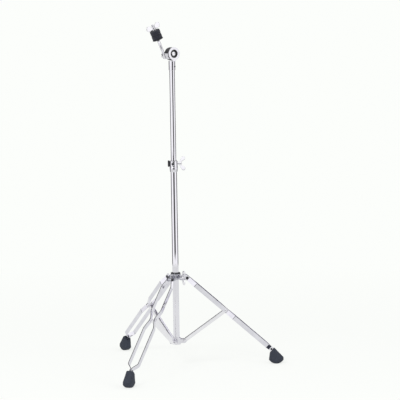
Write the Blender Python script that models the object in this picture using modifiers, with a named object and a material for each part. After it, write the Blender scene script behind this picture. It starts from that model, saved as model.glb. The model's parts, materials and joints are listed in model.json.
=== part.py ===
"""Cymbal stand: a two-section tube stand on three double-strip legs, with a ratchet tilter.

Units are metres and +Z is up. Leg C points along +X, leg A is at +120 degrees and leg B at
-120 degrees. The origin is on the floor, at the middle of the stand's outline seen from above.
"""

from math import copysign, cos, pi, radians, sin, tan

import bmesh
import bpy
from mathutils import Matrix, Vector

# General fits
GAP = 0.0003                    # running clearance between two touching pieces
ROUND_STEPS = 32                # sides of a large round piece
HUB_STEPS = 24                  # sides of a hub, washer or bolt head
SMALL_STEPS = 12                # sides of a pin, rivet or screw
MERGE = 0.00001

# Telescoping tubes
BASE_TUBE_DIAMETER = 0.0222
BASE_TUBE_LENGTH = 0.625
TUBE_WALL = 0.0012
TELESCOPE_CLEARANCE = 0.000375
UPPER_TUBE_LENGTH = 0.600
UPPER_TUBE_INSERTION = 0.241    # length of the upper tube that is inside the base tube
GUIDE_BUSH_LENGTH = 0.014
GUIDE_SPIGOT_LENGTH = 0.012

# Tripod geometry, with the legs at their working spread
LEG_SPREAD = radians(48.26)     # leg to vertical
STRUT_SPREAD = radians(54.7)    # strut to vertical
LEG_REACH = 0.4423              # leg pivot to the middle of the sole, along the leg
SOLE_DROP = 0.0271              # sole below the leg's centre line, square to the leg
BRACE_DISTANCE = 0.180          # leg pivot to the strut's rivet
LEG_AZIMUTHS = {"c": 0.0, "a": radians(120.0), "b": radians(-120.0)}

# Leg strips
STRIP_WIDTH = 0.0155
STRIP_THICKNESS = 0.0025
STRIP_SPREAD = 0.0371           # between the strips' middles on their parallel runs
STRIP_TOP_OVERHANG = 0.0145     # past the leg pivot
TOP_FLARE = 0.0376              # pivot to the first bend
BRACE_TAPER = 0.0372            # strut's rivet to the bend on either side
ANKLE_CLEARANCE = 0.030         # last parallel point to the top of the foot
ANKLE_TAPER = 0.017
ANKLE_GAP = 0.0016              # between the strips where they meet
STRIP_FOOT_DEPTH = 0.018        # strip inside the rubber foot
STRIP_END_RADIUS = 0.0065
STRIP_END_STEPS = 4
ROUND_PROFILE = 0.5             # of a bevel that follows a circle
BEND_RADIUS = 0.009
PIN_DIAMETER = 0.006
RIVET_HEAD_DIAMETER = 0.0105
RIVET_HEAD_HEIGHT = 0.0022
RIVET_CROWN = 0.6               # flat top of a head, as a share of its diameter
FOOT_RIVET_DIAMETER = 0.004
FOOT_RIVET_HEAD = 0.0072
FOOT_RIVET_HEAD_HEIGHT = 0.0011
FOOT_RIVET_CLEARANCE = 0.0022   # rivet's head to the rubber foot

# Strut: a channel, open underneath
STRUT_WIDTH = 0.014
STRUT_HEIGHT = 0.012
STRUT_WALL = 0.0016
STRUT_END = 0.0065              # past the rivet and the pin

# Rubber foot, of oval section, in its own upright frame with the sole at zero
FOOT_TOP_WIDTH = 0.0285         # at the neck
FOOT_SOLE_WIDTH = 0.0320
FOOT_LENGTH = 0.0521            # heel to toe, along the leg's plane
FOOT_FLAT_LENGTH = 0.0125       # the flat under the rounded sole
FOOT_FLAT_WIDTH = 0.0220
FOOT_SOLE_RISE = 0.0120
FOOT_TOE_WALL = 0.0090
FOOT_DEPTH = 0.0413             # top of the foot to the middle of the sole, along the leg
FOOT_NECK_TOP = 0.0100          # above the leg's centre line
FOOT_NECK_BOTTOM = 0.0150       # below the leg's centre line
FOOT_SQUARENESS = 3.0           # two is an ellipse, more is squarer
FOOT_ROUNDING = 0.0020
FOOT_SOLE_STEPS = 4
FOOT_STEPS = 24

# Leg collar, sliding on the base tube
COLLAR_BUSH_WALL = 0.0028
COLLAR_WALL = 0.0040
COLLAR_HEIGHT = 0.0200
COLLAR_LUG_DROP = 0.0048        # collar's lower edge below the leg pivots
COLLAR_LUG_REACH = 0.0218       # collar's outside to the leg pivots
LUG_WIDTH = 0.014
LUG_HEIGHT = 0.0155
COLLAR_FLANGE_HEIGHT = 0.0044
COLLAR_FLANGE_STEP = 0.0018     # flange edge inside the collar's outside
COLLAR_SCREW_BOSS = 0.0115      # boss standing out of the collar
COLLAR_BOSS_DIAMETER = 0.0145
COLLAR_SCREW_RISE = 0.006       # wing screw above the leg pivots
COLLAR_SCREW_AZIMUTH = radians(-60.0)

# Lower bracket, fixed to the end of the base tube
BRACKET_WALL = 0.0036
BRACKET_HEIGHT = 0.024
BRACKET_REACH = 0.0122          # bracket's outside to the strut pins
EAR_THICKNESS = 0.0030
EAR_HEIGHT = 0.0145
BRACKET_BOSS_HEIGHT = 0.0016

# Height clamp on top of the base tube
CLAMP_WALL = 0.0023
CLAMP_SKIRT_WALL = 0.0030
CLAMP_SKIRT_LIP = 0.0012
CLAMP_SKIRT_LENGTH = 0.016      # over the base tube
CLAMP_SKIRT_TAPER = 0.011
CLAMP_SHOULDER = 0.0015         # skirt's shoulder above the tube's end
CLAMP_RING_HEIGHT = 0.0215
CLAMP_SLIT = 0.0024
CLAMP_EAR_THICKNESS = 0.0115
CLAMP_EAR_HEIGHT = 0.0185
CLAMP_EAR_MARGIN = 0.0035       # ear past the bolt hole
CLAMP_BOLT_DIAMETER = 0.006
CLAMP_BOLT_CLEARANCE = 0.0015   # bolt to the clamp's ring
CLAMP_HEAD_SIZE = (0.0065, 0.013, 0.0215)
CLAMP_HEAD_ROUNDING = 0.0012
CLAMP_EAR_ROUNDING = 0.0015
CLAMP_BOLT_REACH = 0.0136       # bolt inside its wing nut
CLAMP_PEG_DIAMETER = 0.0086
CLAMP_PEG_AZIMUTH = radians(-106.0)
CLAMP_SLOT_SIZE = (0.0040, 0.0075)
CLAMP_SLOT_DROP = 0.0009        # slot below the shoulder
CLAMP_BUSH_RISE = 0.0009

# Tilter
TILTER_AZIMUTH = radians(30.0)  # the disc's plane
RATCHET_DIAMETER = 0.0450
RATCHET_THICKNESS = 0.0122
RATCHET_TEETH = 32
RATCHET_TOOTH_DEPTH = 0.0007
FRONT_PLATE_THICKNESS = 0.0028
ARM_PLATE_THICKNESS = 0.0040
ARM_PLATE_DIAMETER = 0.0390
RECESS_DIAMETER = 0.0285
RECESS_DEPTH = 0.0042
SOCKET_WALL = 0.0018
SOCKET_DEPTH = 0.022
SOCKET_CAP = 0.011              # solid part above the tube's end
SOCKET_TO_DISC = 0.0012
STEM_WEB_WIDTH = 0.014
STEM_WEB_DROP = 0.0020          # web below the socket's top
STEM_WEB_RISE = 0.0060          # web above it, up the front plate
STEM_WEB_REACH = 0.0060         # web into the socket from its front
STEM_SCREW_AZIMUTH = radians(-40.0)
STEM_SCREW_HEAD = 0.0046
STEM_SCREW_HEAD_HEIGHT = 0.0017
STEM_SCREW_DROP = 0.009         # below the tube's end
TILTER_BOLT_DIAMETER = 0.008
TILTER_HEAD_DIAMETER = 0.0150
TILTER_HEAD_HEIGHT = 0.0046
TILTER_HEAD_ROUNDING = 0.0008
TILTER_BOLT_PROUD = 0.0021      # bolt past its wing nut
TILTER_WASHER_DIAMETER = 0.018
TILTER_WASHER_THICKNESS = 0.0016
ROD_TILT = radians(24.0)        # rod to vertical
ARM_BLOCK_TOP = 0.0015          # block above the bolt's middle, with the rod at its tilt
ARM_BLOCK_BOTTOM = 0.0178       # block below it
ARM_BLOCK_FRONT = 0.0130        # block's widest part in front of the discs' meeting line
ARM_BOSS_WALL = 0.0026          # round end of the block outside the rod
ARM_BLOCK_ROUNDING = 0.0010
ARM_BLOCK_CLEARANCE = 0.0012    # block to the toothed discs
ROD_CLEARANCE = 0.0078          # middle of the rod to the discs' rim

# Cymbal rod and what is on it
ROD_DIAMETER = 0.0090
ROD_THREAD_DIAMETER = 0.0080
ROD_SHOULDER = 0.0670           # above the arm's middle
ROD_TIP_RISE = 0.0220           # above the upper felt
ROD_TIP_CHAMFER = 0.0010
SEAT_DIAMETER = 0.0380
SEAT_THICKNESS = 0.0028
SLEEVE_DIAMETER = 0.0118
FELT_DIAMETER = 0.0360
FELT_THICKNESS = 0.0155
FELT_EDGE = 0.0012
SET_SCREW_DIAMETER = 0.005
SET_SCREW_PROUD = 0.0012
SET_SCREW_DROP = 0.0048         # below the block's top

# Wing nuts and wing screws: hub and round-eared wings
CYMBAL_NUT = {"hub": 0.0125, "neck": 0.0105, "height": 0.0140, "ear": 0.0098,
              "ear_out": 0.0187, "ear_up": 0.0126, "web_low": 0.0040, "wall": 0.0040,
              "bore": ROD_THREAD_DIAMETER, "turn": 0.0}
HEIGHT_NUT = {"hub": 0.0115, "neck": 0.0095, "height": 0.0170, "ear": 0.0072,
              "ear_out": 0.0178, "ear_up": 0.0215, "web_low": 0.0075, "wall": 0.0040,
              "bore": CLAMP_BOLT_DIAMETER, "turn": radians(-12.0)}
COLLAR_SCREW = {"hub": 0.0115, "neck": 0.0095, "height": 0.0190, "ear": 0.0072,
                "ear_out": 0.0180, "ear_up": 0.0225, "web_low": 0.0095, "wall": 0.0040,
                "bore": 0.0, "turn": 0.0}
TILTER_NUT = {"hub": 0.0135, "neck": 0.0110, "height": 0.0140, "ear": 0.0076,
              "ear_out": 0.0165, "ear_up": 0.0125, "web_low": 0.0040, "wall": 0.0040,
              "bore": TILTER_BOLT_DIAMETER, "turn": radians(-28.0)}
COLLAR_SCREW_DIAMETER = 0.006
WING_EDGE = 0.0009
WING_CROWN = 0.6                # flat top of a hub, as a share of its neck
WING_SKIRT = 0.6                # height of a hub's foot, as a share of the wings' start

# Tube sizes that follow from the driving values
BASE_RADIUS = BASE_TUBE_DIAMETER / 2
BASE_BORE_RADIUS = BASE_RADIUS - TUBE_WALL
UPPER_RADIUS = BASE_BORE_RADIUS - TELESCOPE_CLEARANCE
UPPER_BORE_RADIUS = UPPER_RADIUS - TUBE_WALL

# Collar and bracket radii
COLLAR_BUSH_BORE = BASE_RADIUS + GAP
COLLAR_BORE = COLLAR_BUSH_BORE + COLLAR_BUSH_WALL + GAP
COLLAR_RADIUS = COLLAR_BORE + COLLAR_WALL
LEG_PIVOT_RADIUS = COLLAR_RADIUS + COLLAR_LUG_REACH
BRACKET_RADIUS = BASE_RADIUS + GAP + BRACKET_WALL
STRUT_PIVOT_RADIUS = BRACKET_RADIUS + BRACKET_REACH

# Heights, from the floor up
LEG_PIVOT_Z = LEG_REACH * cos(LEG_SPREAD) + SOLE_DROP * sin(LEG_SPREAD)
BRACE_RADIUS = LEG_PIVOT_RADIUS + BRACE_DISTANCE * sin(LEG_SPREAD)
BRACE_Z = LEG_PIVOT_Z - BRACE_DISTANCE * cos(LEG_SPREAD)
STRUT_LENGTH = (BRACE_RADIUS - STRUT_PIVOT_RADIUS) / sin(STRUT_SPREAD)
STRUT_PIVOT_Z = BRACE_Z - STRUT_LENGTH * cos(STRUT_SPREAD)
BASE_TUBE_BOTTOM = STRUT_PIVOT_Z - BRACKET_HEIGHT / 2
BASE_TUBE_TOP = BASE_TUBE_BOTTOM + BASE_TUBE_LENGTH
UPPER_TUBE_BOTTOM = BASE_TUBE_TOP - UPPER_TUBE_INSERTION
UPPER_TUBE_TOP = UPPER_TUBE_BOTTOM + UPPER_TUBE_LENGTH
SOCKET_RADIUS = UPPER_RADIUS + GAP + SOCKET_WALL
SOCKET_TOP = UPPER_TUBE_TOP + GAP + SOCKET_CAP
TILTER_Z = SOCKET_TOP + SOCKET_TO_DISC + RATCHET_DIAMETER / 2
ROD_OFFSET = RATCHET_DIAMETER / 2 + ROD_CLEARANCE
ARM_BOSS_RADIUS = ROD_DIAMETER / 2 + GAP + ARM_BOSS_WALL

# Height clamp, from the end of the base tube
CLAMP_TOP = CLAMP_SHOULDER + CLAMP_RING_HEIGHT
CLAMP_BORE = BASE_RADIUS + GAP
CLAMP_RADIUS = CLAMP_BORE + CLAMP_WALL
CLAMP_BOLT_Z = CLAMP_SHOULDER + CLAMP_RING_HEIGHT / 2
CLAMP_BOLT_Y = CLAMP_RADIUS + CLAMP_BOLT_CLEARANCE + CLAMP_BOLT_DIAMETER / 2

# Places along the leaning rod, from its point nearest to the bolt
ROD_LOW = ((ROD_OFFSET + ROD_DIAMETER / 2) * sin(ROD_TILT) - ARM_BLOCK_BOTTOM) / cos(ROD_TILT)
SET_SCREW_PLACE = ((ROD_OFFSET + ARM_BOSS_RADIUS) * sin(ROD_TILT) + ARM_BLOCK_TOP
                   - SET_SCREW_DROP) / cos(ROD_TILT)

# Tilter stack along the bolt, from the front plate to the wing nut
LOWER_DISC_Y = -RATCHET_THICKNESS - GAP / 2
UPPER_DISC_Y = GAP / 2
FRONT_PLATE_Y = LOWER_DISC_Y - GAP - FRONT_PLATE_THICKNESS
ARM_PLATE_Y = UPPER_DISC_Y + RATCHET_THICKNESS + GAP
TILTER_WASHER_Y = ARM_PLATE_Y + ARM_PLATE_THICKNESS + GAP
TILTER_NUT_Y = TILTER_WASHER_Y + TILTER_WASHER_THICKNESS + GAP

# Stack on the cymbal rod
SEAT_Z = ROD_SHOULDER + GAP
LOWER_FELT_Z = SEAT_Z + SEAT_THICKNESS + GAP
UPPER_FELT_Z = LOWER_FELT_Z + FELT_THICKNESS + GAP
CYMBAL_NUT_Z = UPPER_FELT_Z + FELT_THICKNESS + GAP
ROD_TIP = UPPER_FELT_Z + FELT_THICKNESS + ROD_TIP_RISE

# Leg strip run
STRIP_IN = STRUT_WIDTH / 2 + GAP + STRIP_THICKNESS / 2
STRIP_LUG = LUG_WIDTH / 2 + GAP + STRIP_THICKNESS / 2
STRIP_OUT = STRIP_SPREAD / 2
STRIP_ANKLE = ANKLE_GAP / 2 + STRIP_THICKNESS / 2
FOOT_NECK_DISTANCE = LEG_REACH - FOOT_DEPTH
FOOT_RIVET_DISTANCE = FOOT_NECK_DISTANCE - FOOT_RIVET_CLEARANCE - FOOT_RIVET_HEAD / 2
ANKLE_DISTANCE = FOOT_NECK_DISTANCE - ANKLE_CLEARANCE

CHROME = (0.80, 0.81, 0.83, 1.0)
BLACK = (0.030, 0.032, 0.038, 1.0)
FELT_GREY = (0.035, 0.036, 0.045, 1.0)
RUBBER = (0.040, 0.046, 0.060, 1.0)
DARK_STEEL = (0.10, 0.10, 0.11, 1.0)


def clear_scene():
    for obj in list(bpy.data.objects):
        bpy.data.objects.remove(obj)


def collection(name):
    group = bpy.data.collections.new(name)
    bpy.context.scene.collection.children.link(group)
    return group


def material(name, colour, roughness, metallic):
    made = bpy.data.materials.new(name)
    made.use_nodes = True
    shader = made.node_tree.nodes["Principled BSDF"]
    shader.inputs["Base Color"].default_value = colour
    shader.inputs["Roughness"].default_value = roughness
    shader.inputs["Metallic"].default_value = metallic
    made.diffuse_color = colour
    return made


FINISHES = {
    "chrome": (CHROME, 0.08, 1.0),
    "nylon": (BLACK, 0.45, 0.0),
    "felt": (FELT_GREY, 0.95, 0.0),
    "rubber": (RUBBER, 0.70, 0.0),
    "dark_steel": (DARK_STEEL, 0.40, 1.0),
}


def empty(name, parent=None, location=(0, 0, 0), rotation=(0, 0, 0)):
    frame = bpy.data.objects.new(name, None)
    frame.empty_display_size = 0.02
    frame.parent = parent
    frame.location = location
    frame.rotation_euler = rotation
    PARTS.objects.link(frame)
    return frame


def place(obj, parent, location=(0, 0, 0), rotation=(0, 0, 0)):
    obj.parent = parent
    obj.location = location
    obj.rotation_euler = rotation
    return obj


def as_part(obj, finish):
    """Give a piece its own material and put it in the stand's collection."""
    colour, roughness, metallic = FINISHES[finish]
    obj.data.materials.clear()
    obj.data.materials.append(material(obj.name, colour, roughness, metallic))
    obj.data.shade_smooth()
    obj.data.set_sharp_from_angle(angle=radians(35))
    for group in list(obj.users_collection):
        group.objects.unlink(obj)
    PARTS.objects.link(obj)
    return obj


def as_tool(obj):
    """Put a shape that cuts or joins another in the tool collection."""
    obj.hide_render = True
    obj.display_type = "WIRE"
    for group in list(obj.users_collection):
        group.objects.unlink(obj)
    TOOLS.objects.link(obj)
    return obj


def mesh_object(name, mesh_builder):
    mesh = bpy.data.meshes.new(name)
    builder = bmesh.new()
    mesh_builder(builder)
    builder.to_mesh(mesh)
    builder.free()
    obj = bpy.data.objects.new(name, mesh)
    bpy.context.scene.collection.objects.link(obj)
    return obj


def box(name, low, high):
    """A box between two corners."""
    low, high = Vector(low), Vector(high)

    def build(builder):
        bmesh.ops.create_cube(builder, size=1.0)
        bmesh.ops.scale(builder, vec=high - low, verts=builder.verts)
        bmesh.ops.translate(builder, vec=(high + low) / 2, verts=builder.verts)

    return mesh_object(name, build)


def cylinder(name, radius, start, end, axis="Z", steps=SMALL_STEPS, at=(0, 0)):
    """A round bar along an axis; `at` is its place on the other two axes, in their order."""

    def build(builder):
        bmesh.ops.create_cone(builder, cap_ends=True, segments=steps, radius1=radius,
                              radius2=radius, depth=end - start)
        middle = (start + end) / 2
        for vert in builder.verts:
            x, y, z = vert.co
            if axis == "Z":
                vert.co = (x + at[0], y + at[1], z + middle)
            elif axis == "Y":
                vert.co = (x + at[0], z + middle, -y + at[1])
            else:
                vert.co = (z + middle, x + at[0], y + at[1])

    return mesh_object(name, build)


def turned(name, profile, closed=False, steps=ROUND_STEPS):
    """Turn a profile of (radius, height) points about Z; a closed one makes a ring."""

    def build(builder):
        verts = [builder.verts.new((radius, 0, height)) for radius, height in profile]
        for first, second in zip(verts, verts[1:]):
            builder.edges.new((first, second))
        if closed:
            builder.edges.new((verts[-1], verts[0]))

    obj = mesh_object(name, build)
    screw = obj.modifiers.new("turn", "SCREW")
    screw.axis = "Z"
    screw.angle = 2 * pi
    screw.steps = steps
    screw.render_steps = steps
    screw.use_merge_vertices = True
    screw.merge_threshold = MERGE
    screw.use_smooth_shade = True
    return obj


def ring(name, inner, outer, low, high, steps=ROUND_STEPS):
    profile = [(outer, high), (outer, low), (inner, low), (inner, high)]
    return turned(name, profile, closed=True, steps=steps)


def plate(name, outline, low, high, plane="XY"):
    """A flat outline as a plate; plane XZ or YZ stands it up, low to high is its thickness."""
    curve = bpy.data.curves.new(name, "CURVE")
    curve.dimensions = "2D"
    curve.fill_mode = "BOTH"
    curve.extrude = (high - low) / 2
    spline = curve.splines.new("POLY")
    spline.points.add(len(outline) - 1)
    for point, (u, v) in zip(spline.points, outline):
        point.co = (u, v, 0, 1)
    spline.use_cyclic_u = True
    flat = bpy.data.objects.new(name, curve)
    bpy.context.scene.collection.objects.link(flat)
    graph = bpy.context.evaluated_depsgraph_get()
    mesh = bpy.data.meshes.new_from_object(flat.evaluated_get(graph))
    bpy.data.objects.remove(flat)
    middle = (low + high) / 2
    builder = bmesh.new()
    builder.from_mesh(mesh)
    bmesh.ops.remove_doubles(builder, verts=builder.verts, dist=MERGE)
    for vert in builder.verts:
        u, v, w = vert.co
        if plane == "XY":
            vert.co = (u, v, w + middle)
        elif plane == "XZ":
            vert.co = (u, middle - w, v)
        else:
            vert.co = (w + middle, u, v)
    bmesh.ops.recalc_face_normals(builder, faces=builder.faces)
    builder.to_mesh(mesh)
    builder.free()
    obj = bpy.data.objects.new(name, mesh)
    bpy.context.scene.collection.objects.link(obj)
    return obj


def combine(obj, tool, operation):
    """Join a tool shape to a piece, or cut it out; the tool shares the piece's frame."""
    tool.name = obj.name + "_" + tool.name
    place(as_tool(tool), obj.parent, obj.location, obj.rotation_euler)
    change = obj.modifiers.new(operation.lower(), "BOOLEAN")
    change.operation = operation
    change.solver = "EXACT"
    change.object = tool


def join(obj, tool):
    combine(obj, tool, "UNION")


def cut(obj, tool):
    combine(obj, tool, "DIFFERENCE")


def soften(obj, width, steps=2, angle=40):
    """Round a piece's sharp edges."""
    bevel = obj.modifiers.new("rounded_edges", "BEVEL")
    bevel.width = width
    bevel.segments = steps
    bevel.limit_method = "ANGLE"
    bevel.angle_limit = radians(angle)
    return obj


def arc(centre, radius, start, end, steps):
    """Points on an arc, ends included, angles in radians."""
    points = []
    for index in range(steps + 1):
        angle = start + (end - start) * index / steps
        points.append((centre[0] + radius * cos(angle), centre[1] + radius * sin(angle)))
    return points


def rounded_path(points, radius, steps=2):
    """Replace each inner corner of an open path by an arc of the given radius."""
    path = [Vector(points[0])]
    for before, corner, after in zip(points, points[1:], points[2:]):
        corner = Vector(corner)
        to_before = (Vector(before) - corner).normalized()
        to_after = (Vector(after) - corner).normalized()
        half = to_before.angle(to_after) / 2
        setback = radius / tan(half)
        middle = (to_before + to_after).normalized()
        centre = corner + middle * radius / sin(half)
        first = corner + to_before * setback - centre
        last = corner + to_after * setback - centre
        turn = first.angle_signed(last)
        for index in range(steps + 1):
            share = index / steps
            angle = -turn * share
            turned_x = first.x * cos(angle) - first.y * sin(angle)
            turned_y = first.x * sin(angle) + first.y * cos(angle)
            path.append(centre + Vector((turned_x, turned_y)))
    path.append(Vector(points[-1]))
    return path


def ribbon(path, thickness):
    """The outline of a strip of even thickness that follows a path."""
    left, right = [], []
    for index, point in enumerate(path):
        before = path[max(index - 1, 0)]
        after = path[min(index + 1, len(path) - 1)]
        along_in = (point - before).normalized() if index > 0 else None
        along_out = (after - point).normalized() if index < len(path) - 1 else None
        along_in = along_in or along_out
        along_out = along_out or along_in
        along = (along_in + along_out).normalized()
        side = Vector((-along.y, along.x))
        reach = thickness / 2 / max(along.dot(along_in), 0.2)
        left.append(tuple(point + side * reach))
        right.append(tuple(point - side * reach))
    return left + right[::-1]


def tube_parts(stand, upper):
    base = ring("base_tube", BASE_BORE_RADIUS, BASE_RADIUS, BASE_TUBE_BOTTOM, BASE_TUBE_TOP)
    as_part(place(base, stand), "chrome")
    tube = ring("upper_tube", UPPER_BORE_RADIUS, UPPER_RADIUS, UPPER_TUBE_BOTTOM, UPPER_TUBE_TOP)
    as_part(place(tube, upper), "chrome")


def guide_bush(slide):
    """A nylon bush under the upper tube, with a spigot inside the tube."""
    outer = BASE_BORE_RADIUS - GAP
    spigot = UPPER_BORE_RADIUS - GAP
    shoulder = UPPER_TUBE_BOTTOM - GAP
    profile = [(0, shoulder + GUIDE_SPIGOT_LENGTH), (spigot, shoulder + GUIDE_SPIGOT_LENGTH),
               (spigot, shoulder), (outer, shoulder), (outer, shoulder - GUIDE_BUSH_LENGTH),
               (0, shoulder - GUIDE_BUSH_LENGTH)]
    as_part(place(turned("guide_bush", profile), slide), "nylon")


def lower_bracket(stand):
    """The cast ring on the tube's end, with a pair of ears for each strut."""
    top = BASE_TUBE_BOTTOM + BRACKET_HEIGHT
    hub = cylinder("lower_bracket", BRACKET_RADIUS, BASE_TUBE_BOTTOM, top, steps=ROUND_STEPS)
    as_part(place(hub, stand), "chrome")
    inside = STRUT_WIDTH / 2 + GAP
    outside = inside + EAR_THICKNESS
    for azimuth in LEG_AZIMUTHS.values():
        for side in (-1, 1):
            low, high = sorted((side * inside, side * outside))
            ear = plate("ear", ear_outline(), low, high, plane="XZ")
            boss_low, boss_high = sorted((side * (outside - GAP),
                                          side * (outside + BRACKET_BOSS_HEIGHT)))
            boss = cylinder("ear_rivet", RIVET_HEAD_DIAMETER / 2, boss_low, boss_high, "Y",
                            at=(STRUT_PIVOT_RADIUS, STRUT_PIVOT_Z))
            for tool in (ear, boss):
                tool.data.transform(rotation_z(azimuth))
                join(hub, tool)
    bore = cylinder("bore", BASE_RADIUS + GAP, BASE_TUBE_BOTTOM - BRACKET_HEIGHT,
                    top + BRACKET_HEIGHT, steps=ROUND_STEPS)
    cut(hub, bore)


def rotation_z(angle):
    return Matrix.Rotation(angle, 4, "Z")


def ear_outline():
    """A lug from inside the bracket's wall to a round end about the strut pin."""
    half = EAR_HEIGHT / 2
    start = BASE_RADIUS
    round_end = arc((STRUT_PIVOT_RADIUS, STRUT_PIVOT_Z), half, -pi / 2, pi / 2, 8)
    return [(start, STRUT_PIVOT_Z - half)] + round_end + [(start, STRUT_PIVOT_Z + half)]


def height_clamp(clamp_frame):
    """The split ring that holds the upper tube, with its skirt over the base tube."""
    skirt = CLAMP_BORE + CLAMP_SKIRT_WALL
    lip = CLAMP_BORE + CLAMP_SKIRT_LIP
    bottom = -CLAMP_SKIRT_LENGTH
    profile = [(0, CLAMP_TOP), (CLAMP_RADIUS, CLAMP_TOP), (CLAMP_RADIUS, CLAMP_SHOULDER),
               (skirt, CLAMP_SHOULDER - (skirt - CLAMP_RADIUS)),
               (skirt, bottom + CLAMP_SKIRT_TAPER), (lip, bottom), (0, bottom)]
    clamp = turned("height_clamp", profile)
    as_part(place(clamp, clamp_frame), "chrome")
    ear_out = CLAMP_SLIT / 2 + CLAMP_EAR_THICKNESS
    ear_back = CLAMP_BOLT_Y + CLAMP_BOLT_DIAMETER / 2 + CLAMP_EAR_MARGIN
    ear_low = CLAMP_BOLT_Z - CLAMP_EAR_HEIGHT / 2
    ear_high = CLAMP_BOLT_Z + CLAMP_EAR_HEIGHT / 2
    ears = box("ears", (-ear_out, 0, ear_low), (ear_out, ear_back, ear_high))
    join(clamp, soften(ears, CLAMP_EAR_ROUNDING))
    cut(clamp, cylinder("bore", CLAMP_BORE, bottom - GAP, CLAMP_TOP + GAP, steps=ROUND_STEPS))
    slit = box("slit", (-CLAMP_SLIT / 2, 0, CLAMP_SHOULDER + CLAMP_SLIT),
               (CLAMP_SLIT / 2, ear_back * 2, CLAMP_TOP + CLAMP_SLIT))
    cut(clamp, slit)
    cut(clamp, cylinder("bolt_hole", CLAMP_BOLT_DIAMETER / 2 + GAP, -ear_out * 2, ear_out * 2,
                        "X", at=(CLAMP_BOLT_Y, CLAMP_BOLT_Z)))
    peg_hole = cylinder("peg_hole", CLAMP_PEG_DIAMETER / 2 + GAP, BASE_RADIUS / 2,
                        CLAMP_RADIUS * 2, "X", at=(0, CLAMP_BOLT_Z))
    peg_hole.data.transform(rotation_z(CLAMP_PEG_AZIMUTH))
    cut(clamp, peg_hole)
    slot_width, slot_height = CLAMP_SLOT_SIZE
    slot_top = CLAMP_SHOULDER - CLAMP_SLOT_DROP
    slot_low = slot_top - slot_height
    slot = box("slot", (-slot_width / 2, -skirt * 2, slot_low), (slot_width / 2, 0, slot_top))
    cut(clamp, slot)


def clamp_bush(clamp_frame):
    """The nylon bush between the clamp and the upper tube, with its locating peg."""
    outer = CLAMP_BORE - GAP
    inner = UPPER_RADIUS + GAP
    bush = ring("clamp_bush", inner, outer, GAP, CLAMP_TOP + CLAMP_BUSH_RISE)
    as_part(place(bush, clamp_frame), "nylon")
    middle = (inner + outer) / 2
    peg = cylinder("peg", CLAMP_PEG_DIAMETER / 2, middle, CLAMP_RADIUS - GAP, "X",
                   at=(0, CLAMP_BOLT_Z))
    peg.data.transform(rotation_z(CLAMP_PEG_AZIMUTH))
    join(bush, peg)
    slit = box("slit", (-CLAMP_SLIT / 2, 0, -GAP),
               (CLAMP_SLIT / 2, outer * 2, CLAMP_TOP + CLAMP_SLIT))
    cut(bush, slit)


def clamp_bolt(clamp_frame):
    """A bolt with a long block head, through both ears of the clamp."""
    length, depth, height = CLAMP_HEAD_SIZE
    head_end = -(CLAMP_SLIT / 2 + CLAMP_EAR_THICKNESS + GAP)
    low = (head_end - length, CLAMP_BOLT_Y - depth / 2, CLAMP_BOLT_Z - height / 2)
    high = (head_end, CLAMP_BOLT_Y + depth / 2, CLAMP_BOLT_Z + height / 2)
    bolt = box("clamp_bolt", low, high)
    as_part(place(bolt, clamp_frame), "dark_steel")
    soften(bolt, CLAMP_HEAD_ROUNDING)
    end = CLAMP_SLIT / 2 + CLAMP_EAR_THICKNESS + GAP + CLAMP_BOLT_REACH
    join(bolt, cylinder("shank", CLAMP_BOLT_DIAMETER / 2, head_end - length / 2, end, "X",
                        at=(CLAMP_BOLT_Y, CLAMP_BOLT_Z)))


def wing_outline(size):
    """Both wings as one outline: a web with a round ear at each end, as (across, along)."""
    out, up, ear, low = size["ear_out"], size["ear_up"], size["ear"], size["web_low"]
    right = [(size["neck"] / 2, low)]
    right += arc((out, up), ear, radians(-75), radians(150), 9)
    right += [(size["neck"] / 2, min(up, size["height"] - low / 2))]
    left = [(-across, along) for across, along in reversed(right)]
    return right + left


def wing_piece(name, size, parent, location, rotation, shank=(0, 0)):
    """A wing nut or screw along its +Z; `shank` is a screw's length and diameter below it."""
    hub, neck, height = size["hub"] / 2, size["neck"] / 2, size["height"]
    crown = neck * WING_CROWN
    profile = [(0, height), (crown, height), (neck, height - (neck - crown)),
               (hub, size["web_low"] * WING_SKIRT), (hub, 0), (0, 0)]
    piece = turned(name, profile, steps=HUB_STEPS)
    as_part(place(piece, parent, location, rotation), "chrome")
    wings = plate("wings", wing_outline(size), -size["wall"] / 2, size["wall"] / 2, plane="XZ")
    wings.data.transform(rotation_z(size["turn"]))
    join(piece, soften(wings, WING_EDGE, steps=1))
    if size["bore"]:
        cut(piece, cylinder("thread", size["bore"] / 2 + GAP, -height, height * 2))
    length, diameter = shank
    if length:
        join(piece, cylinder("shank", diameter / 2, -length, size["web_low"]))


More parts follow.
